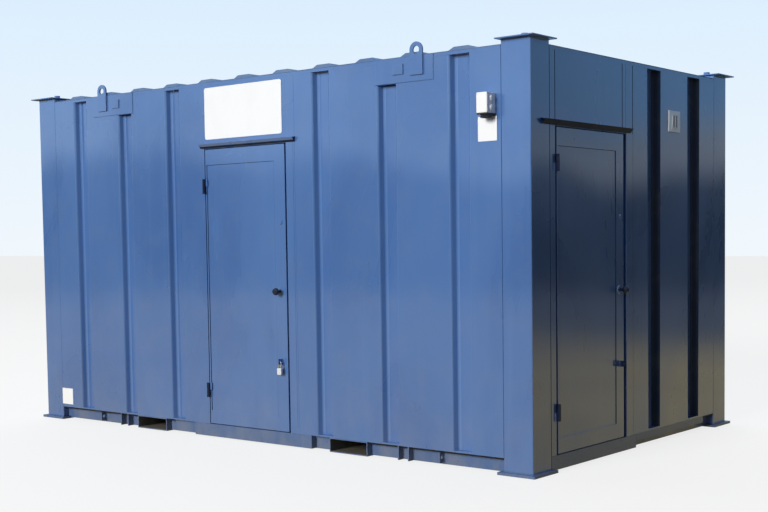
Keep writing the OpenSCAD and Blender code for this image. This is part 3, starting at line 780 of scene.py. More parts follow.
@dataclass
class Shell:
    """Posts, walls, roof and base: merged copies of the CAD nodes with their bends rounded."""

    post_bend: float = 0.007
    rib_bend: float = 0.014
    rib_least_fold: float = 12.0
    sheet_edge: float = 0.0011
    foot_edge: float = 0.0026
    plate_edge: float = 0.0016
    rail_bend: float = 0.004
    roof_bend: float = 0.005
    cap_edge: float = 0.002
    thin_edge: float = 0.001
    roof_rail_edge: float = 0.0006
    eye_edge: float = 0.0018
    eye_x: float = 1.565
    eye_below_top: float = 0.051
    eye_rubbed_r: float = 0.0262
    drip_edge: float = 0.0011
    drip_shade_h: float = 0.012
    wall_inset: float = 0.02
    room_slack: float = 0.001
    pocket_wall: float = 0.005
    walls: tuple[tuple[str, Facing], ...] = (
        ("front_wall_left", Facing.FRONT), ("front_wall_right", Facing.FRONT),
        ("front_door_header", Facing.FRONT), ("side_wall", Facing.SIDE),
        ("side_wall_strip", Facing.SIDE), ("side_door_header", Facing.SIDE),
        ("back_wall", Facing.BACK), ("left_wall", Facing.LEFT))
    posts: tuple[str, ...] = ("post_front_left", "post_front_right", "post_back_left",
                              "post_back_right")

    def build(self) -> None:
        """Builds every copy of the shell."""
        for node, facing in self.walls:
            self.wall(node, facing)
        for node in self.posts:
            self.softened(node, BLUE, self.post_bend, 3)
        for node, finish, radius in (
                ("foot_plates", BLUE_BASE, self.plate_edge), ("cap_plates", BLUE, self.cap_edge),
                ("long_base_rails", BLUE_BASE, self.rail_bend),
                ("end_base_rails", BLUE_BASE, self.rail_bend),
                ("end_skirts", BLUE_BASE, self.plate_edge),
                ("rail_stiffeners", BLUE_BASE, self.thin_edge),
                ("door_sills", BLUE_BASE, self.rail_bend),
                ("front_door_frame", BLUE, self.plate_edge),
                ("side_door_frame", BLUE, self.plate_edge),
                ("roof_rails", BLUE, self.roof_rail_edge),
                ("roof_sheet", BLUE_ROOF, self.roof_bend),
                ("lifting_plates", BLUE, self.plate_edge)):
            self.softened(node, finish, radius)
        for node in ("fork_pocket_left", "fork_pocket_right"):
            self.pocket(node)
        self.eyes()
        self.drips()
        dress("floor_joists", PRIMER)
        dress("floor", PLY)
        dress("ceiling_panel", LINING)

    def softened(self, node: str, finish: Finish, radius: float, steps: int = 2) -> None:
        """Replaces a CAD node by its copy with rounded edges.

        Args:
            node: The node.
            finish: Its finish.
            radius: Radius of its edges.
            steps: Facets across each edge.
        """
        form = Form(node)
        form.bevel(form.folds(), radius, steps)
        form.done(node + "_sheet", finish, "cabin", slot_of(node), [node])

    def wall(self, node: str, facing: Facing) -> None:
        """Replaces a wall by a copy: wide bends at the ribs, thin edges at the seams.

        Args:
            node: The wall's node.
            facing: Where it stands.
        """
        form = Form(node)
        low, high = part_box(node)
        across = 1 if facing in (Facing.FRONT, Facing.BACK) else 0
        along = 1 - across

        def at_rib(edge: bmesh.types.BMEdge) -> bool:
            """Whether an edge is one of the upright bends of a rib."""
            place = edge.verts[0].co[along]
            return upright(edge) \
                and low[along] + self.wall_inset < place < high[along] - self.wall_inset

        folded = form.folds(self.rib_least_fold, at_rib)
        if folded:
            form.bevel(folded, self.rib_bend, 6)
        form.bevel(form.folds(60.0, lambda edge: upright(edge) and not at_rib(edge)),
                   self.sheet_edge, 1)
        form.bevel(form.folds(60.0, lambda edge: not upright(edge)
                              and abs(edge.verts[0].co.z - low.z) < 0.001
                              and edge.calc_length() > 0.1), self.foot_edge, 2)
        outward = 1.0 if facing in (Facing.SIDE, Facing.BACK) else -1.0
        room = min(low[across] * outward, high[across] * outward) + self.room_slack

        def lines_room(face: bmesh.types.BMFace) -> bool:
            """Whether a face looks into the room."""
            return face.normal[across] * outward < -0.9 \
                and face.calc_center_median()[across] * outward < room

        form.paint_faces(1, lines_room)
        # Rib flanks and bends: lighter blue on the front as painted highlight, dark blue on the
        # gable as painted shade.
        form.paint_faces(2, lambda face: abs(face.normal.z) < 0.5
                         and 0.1 < abs(face.normal[along]) < 0.99)
        bends = {Facing.FRONT: BLUE_LIT_BENDS, Facing.SIDE: SHADED}.get(facing, BLUE)
        form.done(node + "_skin", [BLUE, LINING, bends], replaces=[node])

    def pocket(self, node: str) -> None:
        """Replaces a fork pocket: painted outside, dull inside, scraped where forks slide.

        Args:
            node: The pocket's node.
        """
        low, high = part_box(node)
        form = Form(node)
        form.bevel(form.folds(), self.plate_edge, 2)

        def inside(face: bmesh.types.BMFace) -> bool:
            """Whether a face lines the pocket."""
            middle, skin = face.calc_center_median(), self.pocket_wall
            return low.x + skin < middle.x < high.x - skin \
                and low.z + skin < middle.z < high.z - skin and abs(face.normal.y) < 0.5

        form.paint_faces(1, inside)
        form.paint_faces(2, lambda face: inside(face) and face.normal.z > 0.9)
        form.done(node + "_tube", [BLUE_BASE, PRIMER, SCRAPED], replaces=[node])

    def eyes(self) -> None:
        """Replaces the lifting eyes, with rims rubbed by shackles."""
        form = Form("lifting_eyes")
        form.bevel(form.folds(50.0), self.eye_edge, 2)
        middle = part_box("lifting_eyes")[1].z - self.eye_below_top

        def rubbed(face: bmesh.types.BMFace) -> bool:
            """Whether a face lies inside an eye's hole, where the pin of a shackle rubs."""
            centre = face.calc_center_median()
            reach = math.hypot(abs(centre.x) - self.eye_x, centre.z - middle)
            return abs(face.normal.y) < 0.5 and reach < self.eye_rubbed_r

        form.paint_faces(1, rubbed)
        form.done("lifting_eyes_plate", [BLUE, WORN_EDGE], replaces=["lifting_eyes"])

    def drips(self) -> None:
        """Replaces the drip rails, painted dark blue as painted shade at the front's foot and down
        the gable's hanging side.
        """
        form = Form("drip_rails")
        foot = min(vert.co.z for vert in form.bm.verts if vert.co.y < -HALF.y - 0.001)
        shade_top = foot + self.drip_shade_h
        whole = form.bm.verts[:] + form.bm.edges[:] + form.bm.faces[:]
        bmesh.ops.bisect_plane(form.bm, geom=whole, plane_co=(0, 0, shade_top),
                               plane_no=(0, 0, 1))
        form.bevel(form.folds(), self.drip_edge, 2)

        def hangs_in_shade(face: bmesh.types.BMFace) -> bool:
            """Whether a face takes the painted shade: the hanging side's foot in front, or all of
            it on the gable.
            """
            middle = face.calc_center_median()
            return face.normal.z < 0.35 and (middle.z < shade_top or middle.x > HALF.x)

        form.paint_faces(1, hangs_in_shade)
        form.done("drip_rails_sheet", [BLUE, SHADED], replaces=["drip_rails"])


@dataclass
class Seams:
    """Weld beads, lap strips and mastic that join the sheets and plates; the dark mastic under the
    walls is partly painted shade.
    """

    bead: float = 0.0032
    post_bead: float = 0.004
    rail_bead: float = 0.003
    strip: float = 0.005
    proud: float = 0.0011
    lap: float = 0.0016
    gap: float = 0.012
    plate_x: tuple[float, float] = (1.212, 1.690)
    plate_h: float = 0.158
    eye_x: tuple[float, float] = (1.514, 1.616)
    eye_h: float = 0.12
    pad_x: tuple[float, float] = (1.368, 1.454)
    pad_z: tuple[float, float] = (0.106, 0.04)
    plate_out: float = 0.006
    post_w: float = 0.212
    rail_v: float = 0.049
    stiffener_x: float = 1.408
    lug_x: float = 1.7

    def build(self) -> None:
        """Builds the seams of the four walls and the base."""
        self.sheet_seams()
        self.laps()
        self.foot_gaps()
        self.plate_welds()
        self.base_welds()

    def line(self, form: Form, u: float, z: tuple[float, float]) -> None:
        """Adds an upright dressed seam."""
        form.block((u - self.strip / 2, -self.proud, z[0]), (u + self.strip / 2, 0.001, z[1]),
                   0.0005, 1)

    def sheet_seams(self) -> None:
        """Lays the upright seams between the sheets of each wall."""
        low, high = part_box("front_wall_left")
        top = high.z - 0.002
        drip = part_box("drip_rails")[1].z
        for name, facing, seams in (
                ("front", Facing.FRONT, ((-0.7385, low.z + 0.01, top), (0.484, 0.144, top))),
                ("side", Facing.SIDE, ((-0.251, drip, top), (-0.11, low.z + 0.01, top),
                                       (-1.098, drip, top))),
                ("back", Facing.BACK, ((-1.213, low.z + 0.01, top), (0.01, low.z + 0.01, top),
                                       (1.233, low.z + 0.01, top))),
                ("left", Facing.LEFT, ((0.0, low.z + 0.01, top),))):
            form = Form()
            for u, start, end in seams:
                self.line(form, u, (start, end))
            form.place(facing)
            # The gable's seam strips take the dark blue as painted shade.
            form.done(name + "_sheet_seams", SHADED if facing is Facing.SIDE else BLUE)

    def laps(self) -> None:
        """Lays the thin jamb strips beside the two doors."""
        for name, facing, width, foot in (("front", Facing.FRONT, 0.070, 0.146),
                                          ("side", Facing.SIDE, 0.094, 0.108)):
            opening = Span.of(name + "_door_frame", facing)
            form = Form()
            form.block((opening.u[1] + 0.004, -self.lap, foot),
                       (opening.u[1] + width, 0.002, opening.z[1] + 0.002), 0.0007, 1)
            form.place(facing)
            form.done(name + "_jamb_strip", BLUE)

    def foot_gaps(self) -> None:
        """Lays a dark mastic strip in the gap between each wall's foot and the rail under it,
        partly a real joint and partly painted shade for the shadow in that gap.
        """
        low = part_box("front_wall_left")[0].z
        for name, facing, runs in (
                ("front", Facing.FRONT, ((-2.19, -0.86), (0.83, 2.19))),
                ("side", Facing.SIDE, ((-0.13, 1.15),)),
                ("back", Facing.BACK, ((-2.19, 2.19),)),
                ("left", Facing.LEFT, ((-1.15, 1.15),))):
            form = Form()
            for start, end in runs:
                form.block((start, 0.010, low - self.gap), (end, 0.060, low + 0.0005), 0.002, 1)
            form.place(facing)
            form.done(name + "_foot_mastic_and_shade", RUBBER, "cabin", "black_plastic")

    def plate_welds(self) -> None:
        """Runs weld beads round the lifting plates, stop pads, eyes and cap plates."""
        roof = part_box("roof_rails")[1].z
        for name, facing in (("front", Facing.FRONT), ("back", Facing.BACK)):
            form = Form()
            for side in (-1, 1):
                inner, outer = (side * edge for edge in self.plate_x)
                foot, out = roof - self.plate_h, -self.plate_out
                form.bead((inner, 0, roof), (inner, 0, foot), self.bead)
                form.bead((inner, 0, foot), (outer, 0, foot), self.bead)
                form.bead((outer, 0, foot), (outer, 0, roof), self.bead)
                for edges, low, high in ((self.eye_x, roof - self.eye_h, roof),
                                         (self.pad_x, roof - self.pad_z[0],
                                          roof - self.pad_z[1])):
                    near, far = (side * edge for edge in edges)
                    form.bead((near, out, low), (near, out, high), self.bead)
                    form.bead((far, out, low), (far, out, high), self.bead)
                    form.bead((near, out, low), (far, out, low), self.bead)
            form.place(facing)
            form.done(name + "_lifting_welds", BLUE)
        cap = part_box("cap_plates")[0].z
        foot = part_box("foot_plates")[1].z
        form = Form()
        for mx in (-1, 1):
            for my in (-1, 1):
                x, y = mx * HALF.x, my * HALF.y
                inx, iny = x - mx * self.post_w, y - my * self.post_w
                for level in (cap, foot):
                    form.bead((x, y, level), (inx, y, level), self.post_bead)
                    form.bead((x, y, level), (x, iny, level), self.post_bead)
        form.done("post_welds", BLUE_BASE)

    def base_welds(self) -> None:
        """Runs weld beads where the stiffeners and lugs meet the rails and walls."""
        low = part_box("front_wall_left")[0].z
        for name, facing in (("front", Facing.FRONT), ("back", Facing.BACK)):
            form = Form()
            for side in (-1, 1):
                for shift in (-0.0465, -0.0375, 0.0375, 0.0465):
                    u = side * self.stiffener_x + shift
                    form.bead((u, self.rail_v, 0.012), (u, self.rail_v, low), self.rail_bead)
                for shift in (-0.005, 0.005):
                    u = side * self.lug_x + shift
                    form.bead((u, self.rail_v, 0.022), (u, self.rail_v, low - 0.014),
                              self.rail_bead)
            form.place(facing)
            form.done(name + "_rail_welds", BLUE_BASE)


@dataclass
class Lining:
    """Cover strips and skirting inside: plain trims over the joints of the lining boards."""

    strip_w: float = 0.044
    strip_t: float = 0.004
    skirting_h: float = 0.07
    skirting_t: float = 0.012
    wall_t: float = 0.09

    def build(self) -> None:
        """Builds the trims of each wall and of the ceiling."""
        floor_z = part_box("floor")[1].z
        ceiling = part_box("ceiling_panel")[0].z
        inner = self.wall_t
        for name, facing, strips, runs in (
                ("front", Facing.FRONT, (-1.35, 1.35), ((-2.316, -0.422), (0.404, 2.316))),
                ("side", Facing.SIDE, (0.35,), ((-1.28, -1.099), (-0.203, 1.28))),
                ("back", Facing.BACK, (-1.22, 0.0, 1.22), ((-2.316, 2.316),)),
                ("left", Facing.LEFT, (0.0,), ((-1.28, 1.28),))):
            form = Form()
            for u in strips:
                form.block((u - self.strip_w / 2, inner - 0.0005, floor_z + self.skirting_h),
                           (u + self.strip_w / 2, inner + self.strip_t, ceiling), 0.0012, 1)
            for start, end in runs:
                form.block((start, inner - 0.0005, floor_z),
                           (end, inner + self.skirting_t, floor_z + self.skirting_h), 0.003, 2)
            form.place(facing)
            form.done(name + "_trims", TRIM, "cabin", "white_lining")
        form = Form()
        for x in (-1.22, 0.0, 1.22):
            form.block((x - self.strip_w / 2, -1.276, ceiling - self.strip_t),
                       (x + self.strip_w / 2, 1.276, ceiling + 0.0005), 0.0012, 1)
        form.done("ceiling_trims", TRIM, "cabin", "white_lining")


# --------------------------------------------------------------------------- doors


@dataclass
class Door:
    """A door with its gasket, hinges, knob, lock cylinder and padlock lug."""

    name: str
    facing: Facing
    hinge_z: tuple[float, float]
    leaf_edge: float = 0.0028
    panel_edge: float = 0.0016
    gasket_w: float = 0.010
    gasket_t: float = 0.0052
    barrel_r: float = 0.012
    half: float = 0.053
    flap_w: float = 0.029
    flap_t: float = 0.006
    out: float = 0.013
    knob_z: float = 1.098
    knob_in: float = 0.062
    lock_z: float = 1.582
    lock_in: float = 0.045
    lug_z: float = 0.604
    lug_in: float = 0.052
    lug_t: float = 0.006
    lug_weld: float = 0.02
    # Index of the lug's finish; 4, the dark blue, is painted shade.
    lug_finish: int = 1

    def build(self) -> None:
        """Builds every piece of the door."""
        self.body = self.name + "_door"
        self.span = Span.of(self.name + "_door_leaf", self.facing)
        self.axis = (self.span.u[0] + Span.of(self.name + "_door_frame", self.facing).u[0]) / 2
        self.leaf()
        self.inner_side()
        self.gasket()
        self.upper_hinges()
        self.furniture()
        self.knob()

    def leaf(self) -> None:
        """Replaces the leaf by a copy with folded edges and a pressed panel."""
        form = Form(self.name + "_door_leaf")
        low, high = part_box(self.name + "_door_leaf")

        def outer(edge: bmesh.types.BMEdge) -> bool:
            """Whether an edge belongs to the leaf's own outline."""
            middle = (edge.verts[0].co + edge.verts[1].co) / 2
            at = sum(min(abs(middle[i] - low[i]), abs(middle[i] - high[i])) < 1e-4
                     for i in range(3))
            return at >= 2

        form.bevel(form.folds(60.0, outer), self.leaf_edge, 3)
        form.bevel(form.folds(60.0), self.panel_edge, 2)
        across = 1 if self.facing is Facing.FRONT else 0

        def in_step(face: bmesh.types.BMFace) -> bool:
            """Whether a face belongs to the step round the panel, but not to its foot."""
            middle = face.calc_center_median()
            return abs(face.normal[across]) < 0.93 and face.normal.z < 0.3 and all(
                low[i] + 0.01 < middle[i] < high[i] - 0.01 for i in (1 - across, 2))

        # The step round the pressed panel takes the dark blue as painted shade.
        form.paint_faces(1, in_step)
        form.done(self.name + "_door_sheet", [BLUE_LEAF, SHADED], self.body, "blue_door",
                  [self.name + "_door_leaf"])

    def inner_side(self) -> None:
        """Builds the lining sheet and the lock case on the room side."""
        (u0, u1), (_, v1), (z0, z1) = self.span.u, self.span.v, self.span.z
        form = Form()
        form.block((u0 + 0.055, v1 - 0.001, z0 + 0.05), (u1 - 0.055, v1 + 0.0025, z1 - 0.06),
                   0.0012, 2)
        case = form.block((u1 - 0.135, v1 + 0.002, self.knob_z - 0.08),
                          (u1 - 0.058, v1 + 0.017, self.knob_z + 0.08), 0.004, 3)
        form.tinted(case, 1)
        turn = form.lathe([(0, 0), (0.017, 0), (0.017, 0.004), (0.009, 0.006), (0.009, 0.02),
                           (0.015, 0.024), (0.016, 0.034), (0.012, 0.038), (0, 0.0385)],
                          (u1 - 0.096, v1 + 0.017, self.knob_z), (0, 1, 0), 32)
        form.tinted(turn, 1)
        form.place(self.facing)
        form.done(self.name + "_door_inner_side", [LINING, BRIGHT], self.body, "blue_door",
                  smooth=40.0)

    def gasket(self) -> None:
        """Builds the rubber that the closed leaf presses on, round its stop."""
        (u0, u1), (_, v1), (z0, z1) = self.span.u, self.span.v, self.span.z
        frame_u = Span.of(self.name + "_door_frame", self.facing).u
        near, far = v1 + 0.0006, v1 + 0.0006 + self.gasket_t
        w = self.gasket_w
        form = Form()
        for low, high in (
                ((u0 + 0.002, near, z0 + 0.002), (u0 + 0.002 + w, far, z1 - 0.002)),
                ((u1 - 0.002 - w, near, z0 + 0.002), (u1 - 0.002, far, z1 - 0.002)),
                ((u0 + 0.002 + w, near, z1 - 0.002 - w), (u1 - 0.002 - w, far, z1 - 0.002)),
                ((frame_u[0] + 0.047, near, z0 + 0.004),
                 (frame_u[1] - 0.047, far, z0 + 0.004 + w))):
            form.block(low, high, 0.0022, 3)
        form.place(self.facing)
        form.done(self.name + "_door_gasket", RUBBER, "cabin", "black_plastic")

    def barrel(self, form: Form, z: float, ring: bool) -> None:
        """Adds one knuckle of a hinge.

        Args:
            form: The form that it joins.
            z: Height of its foot.
            ring: Whether it is bored for the pin.
        """
        r, h = self.barrel_r, self.half - (0.0 if ring else 0.0003)
        profile = [(r - 0.0012, 0), (r, 0.0012), (r, h - 0.0012), (r - 0.0012, h)]
        if ring:
            made = form.lathe([(0.0062, 0), *profile, (0.0062, h)], (self.axis, -self.out, z),
                              (0, 0, 1), 36, ring=True)
        else:
            made = form.lathe([(0, 0), *profile, (0, h)], (self.axis, -self.out, z),
                              (0, 0, 1), 36)
        form.tinted(made, 0)

    def flap(self, form: Form, z: float, side: float) -> None:
        """Adds one flap of a hinge, with its neck and the weld round it.

        Args:
            form: The form that it joins.
            z: Height of its foot.
            side: 1 for the leaf's side of the axis and -1 for the wall's.
        """
        end = self.axis + side * self.flap_w
        near, far = sorted((self.axis, end))
        made = form.block((near, -self.flap_t, z), (far, 0, z + self.half - 0.0003), 0.0012, 2)
        form.tinted(made, 1)
        near, far = sorted((self.axis, self.axis + side * self.barrel_r))
        neck = form.block((near, -self.out, z + 0.0004),
                          (far, -self.flap_t + 0.001, z + self.half - 0.0008), 0.0008, 1)
        form.tinted(neck, 0)

    def lower_hinges(self, form: Form) -> None:
        """Adds the fixed halves of this door's hinges, in place, to a shared form.

        Args:
            form: The form, whose other parts are in place already.
        """
        for z in self.hinge_z:
            part = Form()
            foot = z - self.half
            self.barrel(part, foot, ring=False)
            pin = part.rod((self.axis, -self.out, foot + self.half - 0.002),
                           (self.axis, -self.out, foot + 0.098), 0.0059, 28, chamfer=0.001)
            part.tinted(pin, 2)
            self.flap(part, foot, -1.0)
            part.place(self.facing)
            form.join(part)

    def upper_hinges(self) -> None:
        """Builds the halves of the hinges that turn with the leaf."""
        form = Form()
        for z in self.hinge_z:
            self.barrel(form, z, ring=True)
            self.flap(form, z, 1.0)
        form.place(self.facing)
        form.done(self.name + "_hinge_upper_halves", [DARK, BLUE_LEAF], self.body, "dark_paint",
                  [self.name + "_hinge_knuckles"], smooth=40.0)

    def furniture(self) -> None:
        """Builds the rose, the lock cylinder with its keyway, and the padlock lug."""
        u1 = self.span.u[1]
        lug = Form(self.name + "_door_furniture")
        lug.keep(lambda place: place.z < self.lug_z + 0.03)
        lug.bevel(lug.folds(50.0), 0.0009, 2)
        # The lug takes the finish named by lug_finish; the dark blue one is painted shade.
        lug.paint_faces(self.lug_finish, lambda face: True)
        form = Form()
        u = u1 - self.knob_in
        rose = form.lathe([(0.0101, 0), (0.029, 0), (0.029, 0.003), (0.0265, 0.006),
                           (0.0101, 0.006)], (u, 0, self.knob_z), (0, -1, 0), 40, ring=True)
        form.tinted(rose, 2)
        for s in (-1, 1):
            screw = form.lathe([(0, 0.004), (0.0032, 0.0045), (0.0032, 0.0062), (0.002, 0.0074),
                                (0, 0.0077)], (u, 0, self.knob_z + s * 0.0205), (0, -1, 0), 16)
            form.tinted(screw, 0)
        u = u1 - self.lock_in
        form.lathe([(0, 0), (0.016, 0), (0.016, 0.0045), (0.0138, 0.007), (0.0098, 0.007),
                    (0.0094, 0.0062), (0.0088, 0.0062), (0.0084, 0.0068), (0, 0.0068)],
                   (u, 0, self.lock_z), (0, -1, 0), 40)
        keyway = form.block((u - 0.0009, -0.0071, self.lock_z - 0.0045),
                            (u + 0.0009, -0.0060, self.lock_z + 0.0045), 0.0003, 1)
        form.tinted(keyway, 3)
        for s in (-1, 1):
            edge = u1 - self.lug_in + s * self.lug_t / 2
            known = set(form.bm.verts)
            form.bead((edge, 0, self.lug_z - self.lug_weld),
                      (edge, 0, self.lug_z + self.lug_weld), 0.0028)
            form.tinted([vert for vert in form.bm.verts if vert not in known], 1)
        form.place(self.facing)
        form.join(lug)
        form.done(self.name + "_lock_fittings", [BRIGHT, BLUE_LEAF, KNOB, BLACK, SHADED],
                  self.body, "bright_steel", [self.name + "_door_furniture"], smooth=40.0)

    def knob(self) -> None:
        """Builds the turned knob on its neck."""
        form = Form()
        profile = [(0, 0), (0.0099, 0), (0.0099, 0.028), (0.0115, 0.0305), (0.016, 0.0325),
                   (0.0205, 0.0352), (0.0238, 0.0388), (0.0256, 0.0432), (0.0259, 0.0475),
                   (0.0248, 0.0525), (0.0224, 0.0572), (0.0188, 0.0612), (0.0152, 0.0638),
                   (0.0135, 0.0646), (0.0118, 0.0640), (0.0100, 0.0636), (0, 0.0638)]
        form.lathe(profile, (self.span.u[1] - self.knob_in, -0.0004, self.knob_z), (0, -1, 0), 48)
        form.place(self.facing)
        form.done(self.name + "_knob_turned", KNOB, self.name + "_door_knob", "dark_paint",
                  [self.name + "_knob"], smooth=50.0)


@dataclass
class Padlock:
    """The padlock on the front door's lug."""

    edge: float = 0.0032
    body_h: float = 0.046
    body_t: float = 0.018

    def build(self) -> None:
        """Builds the shackle and the rounded case with its keyway and two bands."""
        low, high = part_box("padlock")
        form = Form("padlock")
        top = low.z + self.body_h

        def on_case(edge: bmesh.types.BMEdge) -> bool:
            """Whether an edge belongs to the case."""
            return all(vert.co.z < top + 1e-4 for vert in edge.verts) \
                and edge.calc_length() > self.body_t * 0.9

        form.bevel(form.folds(60.0, on_case), self.edge, 4)
        form.paint_faces(1, lambda face: face.calc_center_median().z > top + 0.0005)
        middle = ((low.x + high.x) / 2, (low.y + high.y) / 2)
        way = form.lathe([(0, 0), (0.0062, 0), (0.0062, 0.0012), (0, 0.0012)],
                         (middle[0], middle[1], low.z + 0.0002), (0, 0, -1), 24)
        form.tinted(way, 2)
        for level in (0.30, 0.72):
            band = form.block((low.x - 0.0004, middle[1] - self.body_t / 2 - 0.0005,
                               low.z + self.body_h * level),
                              (high.x + 0.0004, middle[1] + self.body_t / 2 + 0.0005,
                               low.z + self.body_h * level + 0.0016), 0.0005, 1)
            form.tinted(band, 0)
        form.done("padlock_case_and_shackle", [LOCK_CASE, BRIGHT, BRASS], "padlock",
                  "bright_steel", ["padlock"], smooth=40.0)


# --------------------------------------------------------------------------- fittings


@dataclass
class Fittings:
    """Plain plates, the power inlet and the vent."""

    rivet_r: float = 0.0045
    rivet_h: float = 0.0018
    rivet_in: float = 0.022
    sign_u: tuple[float, float] = (-0.405, 0.371)
    sign_below_roof: float = 0.038
    sign_above_drip: float = 0.027

    def build(self) -> None:
        """Builds each fitting."""
        self.plates()
        self.inlet_box()
        self.inlet()
        self.vent()

    def plates(self) -> None:
        """Replaces the plain plates by copies with soft edges, and rivets them on."""
        form = Form("sign_plates")
        form.bevel(form.folds(50.0), 0.0007, 2)
        form.done("plain_plates", WHITE, "cabin", "white_sheet", ["sign_plates"])
        sign = Span.of("sign_plates", Facing.FRONT)
        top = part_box("roof_rails")[1].z - self.sign_below_roof
        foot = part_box("drip_rails")[1].z + self.sign_above_drip
        left, right = self.sign_u
        form = Form()
        for u in (left + self.rivet_in, (left + right) / 2, right - self.rivet_in):
            for z in (foot + self.rivet_in, top - self.rivet_in):
                r, h = self.rivet_r, self.rivet_h
                form.lathe([(0, 0), (r, 0), (r * 0.9, h * 0.5), (r * 0.55, h * 0.9), (0, h)],
                           (u, sign.v[0], z), (0, -1, 0), 20)
        form.place(Facing.FRONT)
        form.done("sign_rivets", WHITE, "cabin", "white_sheet", smooth=60.0)

    def inlet_box(self) -> None:
        """Builds the power inlet's box: a base, a lid with its lip, bosses and four screw heads.
        """
        box = Span.of("power_inlet_box", Facing.FRONT)
        (u0, u1), (v0, v1), (z0, z1) = box.u, box.v, box.z
        side = u1 - 0.007
        joint = v0 * 0.42
        form = Form()
        form.block((u0 + 0.0015, joint + 0.001, z0 + 0.0015), (side - 0.0015, v1, z1 - 0.0015),
                   0.004, 3)
        form.block((u0, v0 + 0.0016, z0), (side, joint, z1), 0.007, 4)
        for s in (-1, 1):
            form.lathe([(0, -0.002), (0.019, -0.002), (0.019, 0.003), (0.0165, 0.0056),
                        (0.011, 0.007), (0, 0.007)],
                       (side, -0.046, (z0 + z1) / 2 + s * 0.028), (1, 0, 0), 32)
        for u, z in ((u0 + 0.011, z0 + 0.011), (side - 0.011, z1 - 0.011),
                     (u0 + 0.011, z1 - 0.011), (side - 0.011, z0 + 0.011)):
            form.lathe([(0, 0), (0.0042, 0), (0.0036, 0.0011), (0, 0.0015)], (u, v0 + 0.0016, z),
                       (0, -1, 0), 20)
        form.place(Facing.FRONT)
        form.done("inlet_box_moulding", BOX, "cabin", "white_box", ["power_inlet_box"],
                  smooth=40.0)

    def inlet(self) -> None:
        """Builds the black inlet: a flange, a ribbed collar and three pins inside."""
        span = Span.of("power_inlet", Facing.FRONT)
        (u0, u1), (v0, v1), (z0, z1) = span.u, span.v, span.z
        u, v = (u0 + u1) / 2, (v0 + v1) / 2
        form = Form()
        form.block((u0, v0, z1 - 0.008), (u1, v1, z1), 0.003, 3)
        form.lathe([(0.027, 0), (0.0335, 0), (0.035, 0.0015), (0.035, 0.005), (0.0335, 0.0065),
                    (0.0335, 0.0195), (0.027, 0.0195)], (u, v, z0), (0, 0, 1), 48, ring=True)
        form.lathe([(0, 0.0185), (0.0272, 0.0185), (0.0272, 0.022), (0, 0.022)], (u, v, z0),
                   (0, 0, 1), 48)
        for turn in range(3):
            angle = math.radians(90 + 120 * turn)
            x, y = u + 0.013 * math.cos(angle), v + 0.013 * math.sin(angle)
            pin = form.rod((x, y, z0 + 0.004), (x, y, z0 + 0.019), 0.0026, 16, chamfer=0.0008)
            form.tinted(pin, 1)
        form.place(Facing.FRONT)
        form.done("power_inlet_moulding", [BLACK, BRASS], "cabin", "black_plastic",
                  ["power_inlet"], smooth=40.0)

    def vent(self) -> None:
        """Builds the vent: a pale cover with a raised grille and two upright slots."""
        span = Span.of("vent", Facing.SIDE)
        (u0, u1), (v0, _), (z0, z1) = span.u, span.v, span.z
        u, z = (u0 + u1) / 2, (z0 + z1) / 2
        form = Form()
        form.block((u0, v0 + 0.006, z0), (u1, 0.0, z1), 0.0035, 3)
        form.block((u - 0.054, v0 + 0.0045, z - 0.058), (u + 0.054, v0 + 0.007, z + 0.058),
                   0.001, 1)
        slots = (-0.034, -0.010), (0.010, 0.034)
        bars = (-0.043, -0.034), (-0.010, 0.010), (0.034, 0.043)
        for start, end in bars:
            form.block((u + start, v0, z - 0.0465), (u + end, v0 + 0.006, z + 0.0465), 0.0015, 2)
        for level in (-0.0435, 0.0435):
            form.block((u - 0.043, v0, z + level - 0.003),
                       (u + 0.043, v0 + 0.006, z + level + 0.003), 0.0012, 2)
        for start, end in slots:
            back = form.block((u + start, v0 + 0.0035, z - 0.043),
                              (u + end, v0 + 0.0055, z + 0.043), 0.0004, 1)
            form.tinted(back, 1)
            for level in range(7):
                low = z - 0.0385 + level * 0.0115
                slat = form.block((u + start - 0.001, v0 + 0.0012, low),
                                  (u + end + 0.001, v0 + 0.0045, low + 0.0022), 0.0006, 1)
                form.tinted(slat, 1)
        form.place(Facing.SIDE)
        form.done("vent_moulding", [CREAM, GREY], "cabin", "cream_plastic", ["vent"],
                  smooth=40.0)


def hinge_halves(doors: Sequence[Door]) -> None:
    """Builds the fixed halves of all the hinges as one piece.

    Args:
        doors: The doors, already built.
    """
    form = Form()
    for door in doors:
        door.lower_hinges(form)
    form.done("hinge_lower_halves", [DARK, BLUE, BRIGHT], "cabin", "dark_paint",
              ["hinge_pins"], smooth=40.0)


# --------------------------------------------------------------------------- setting


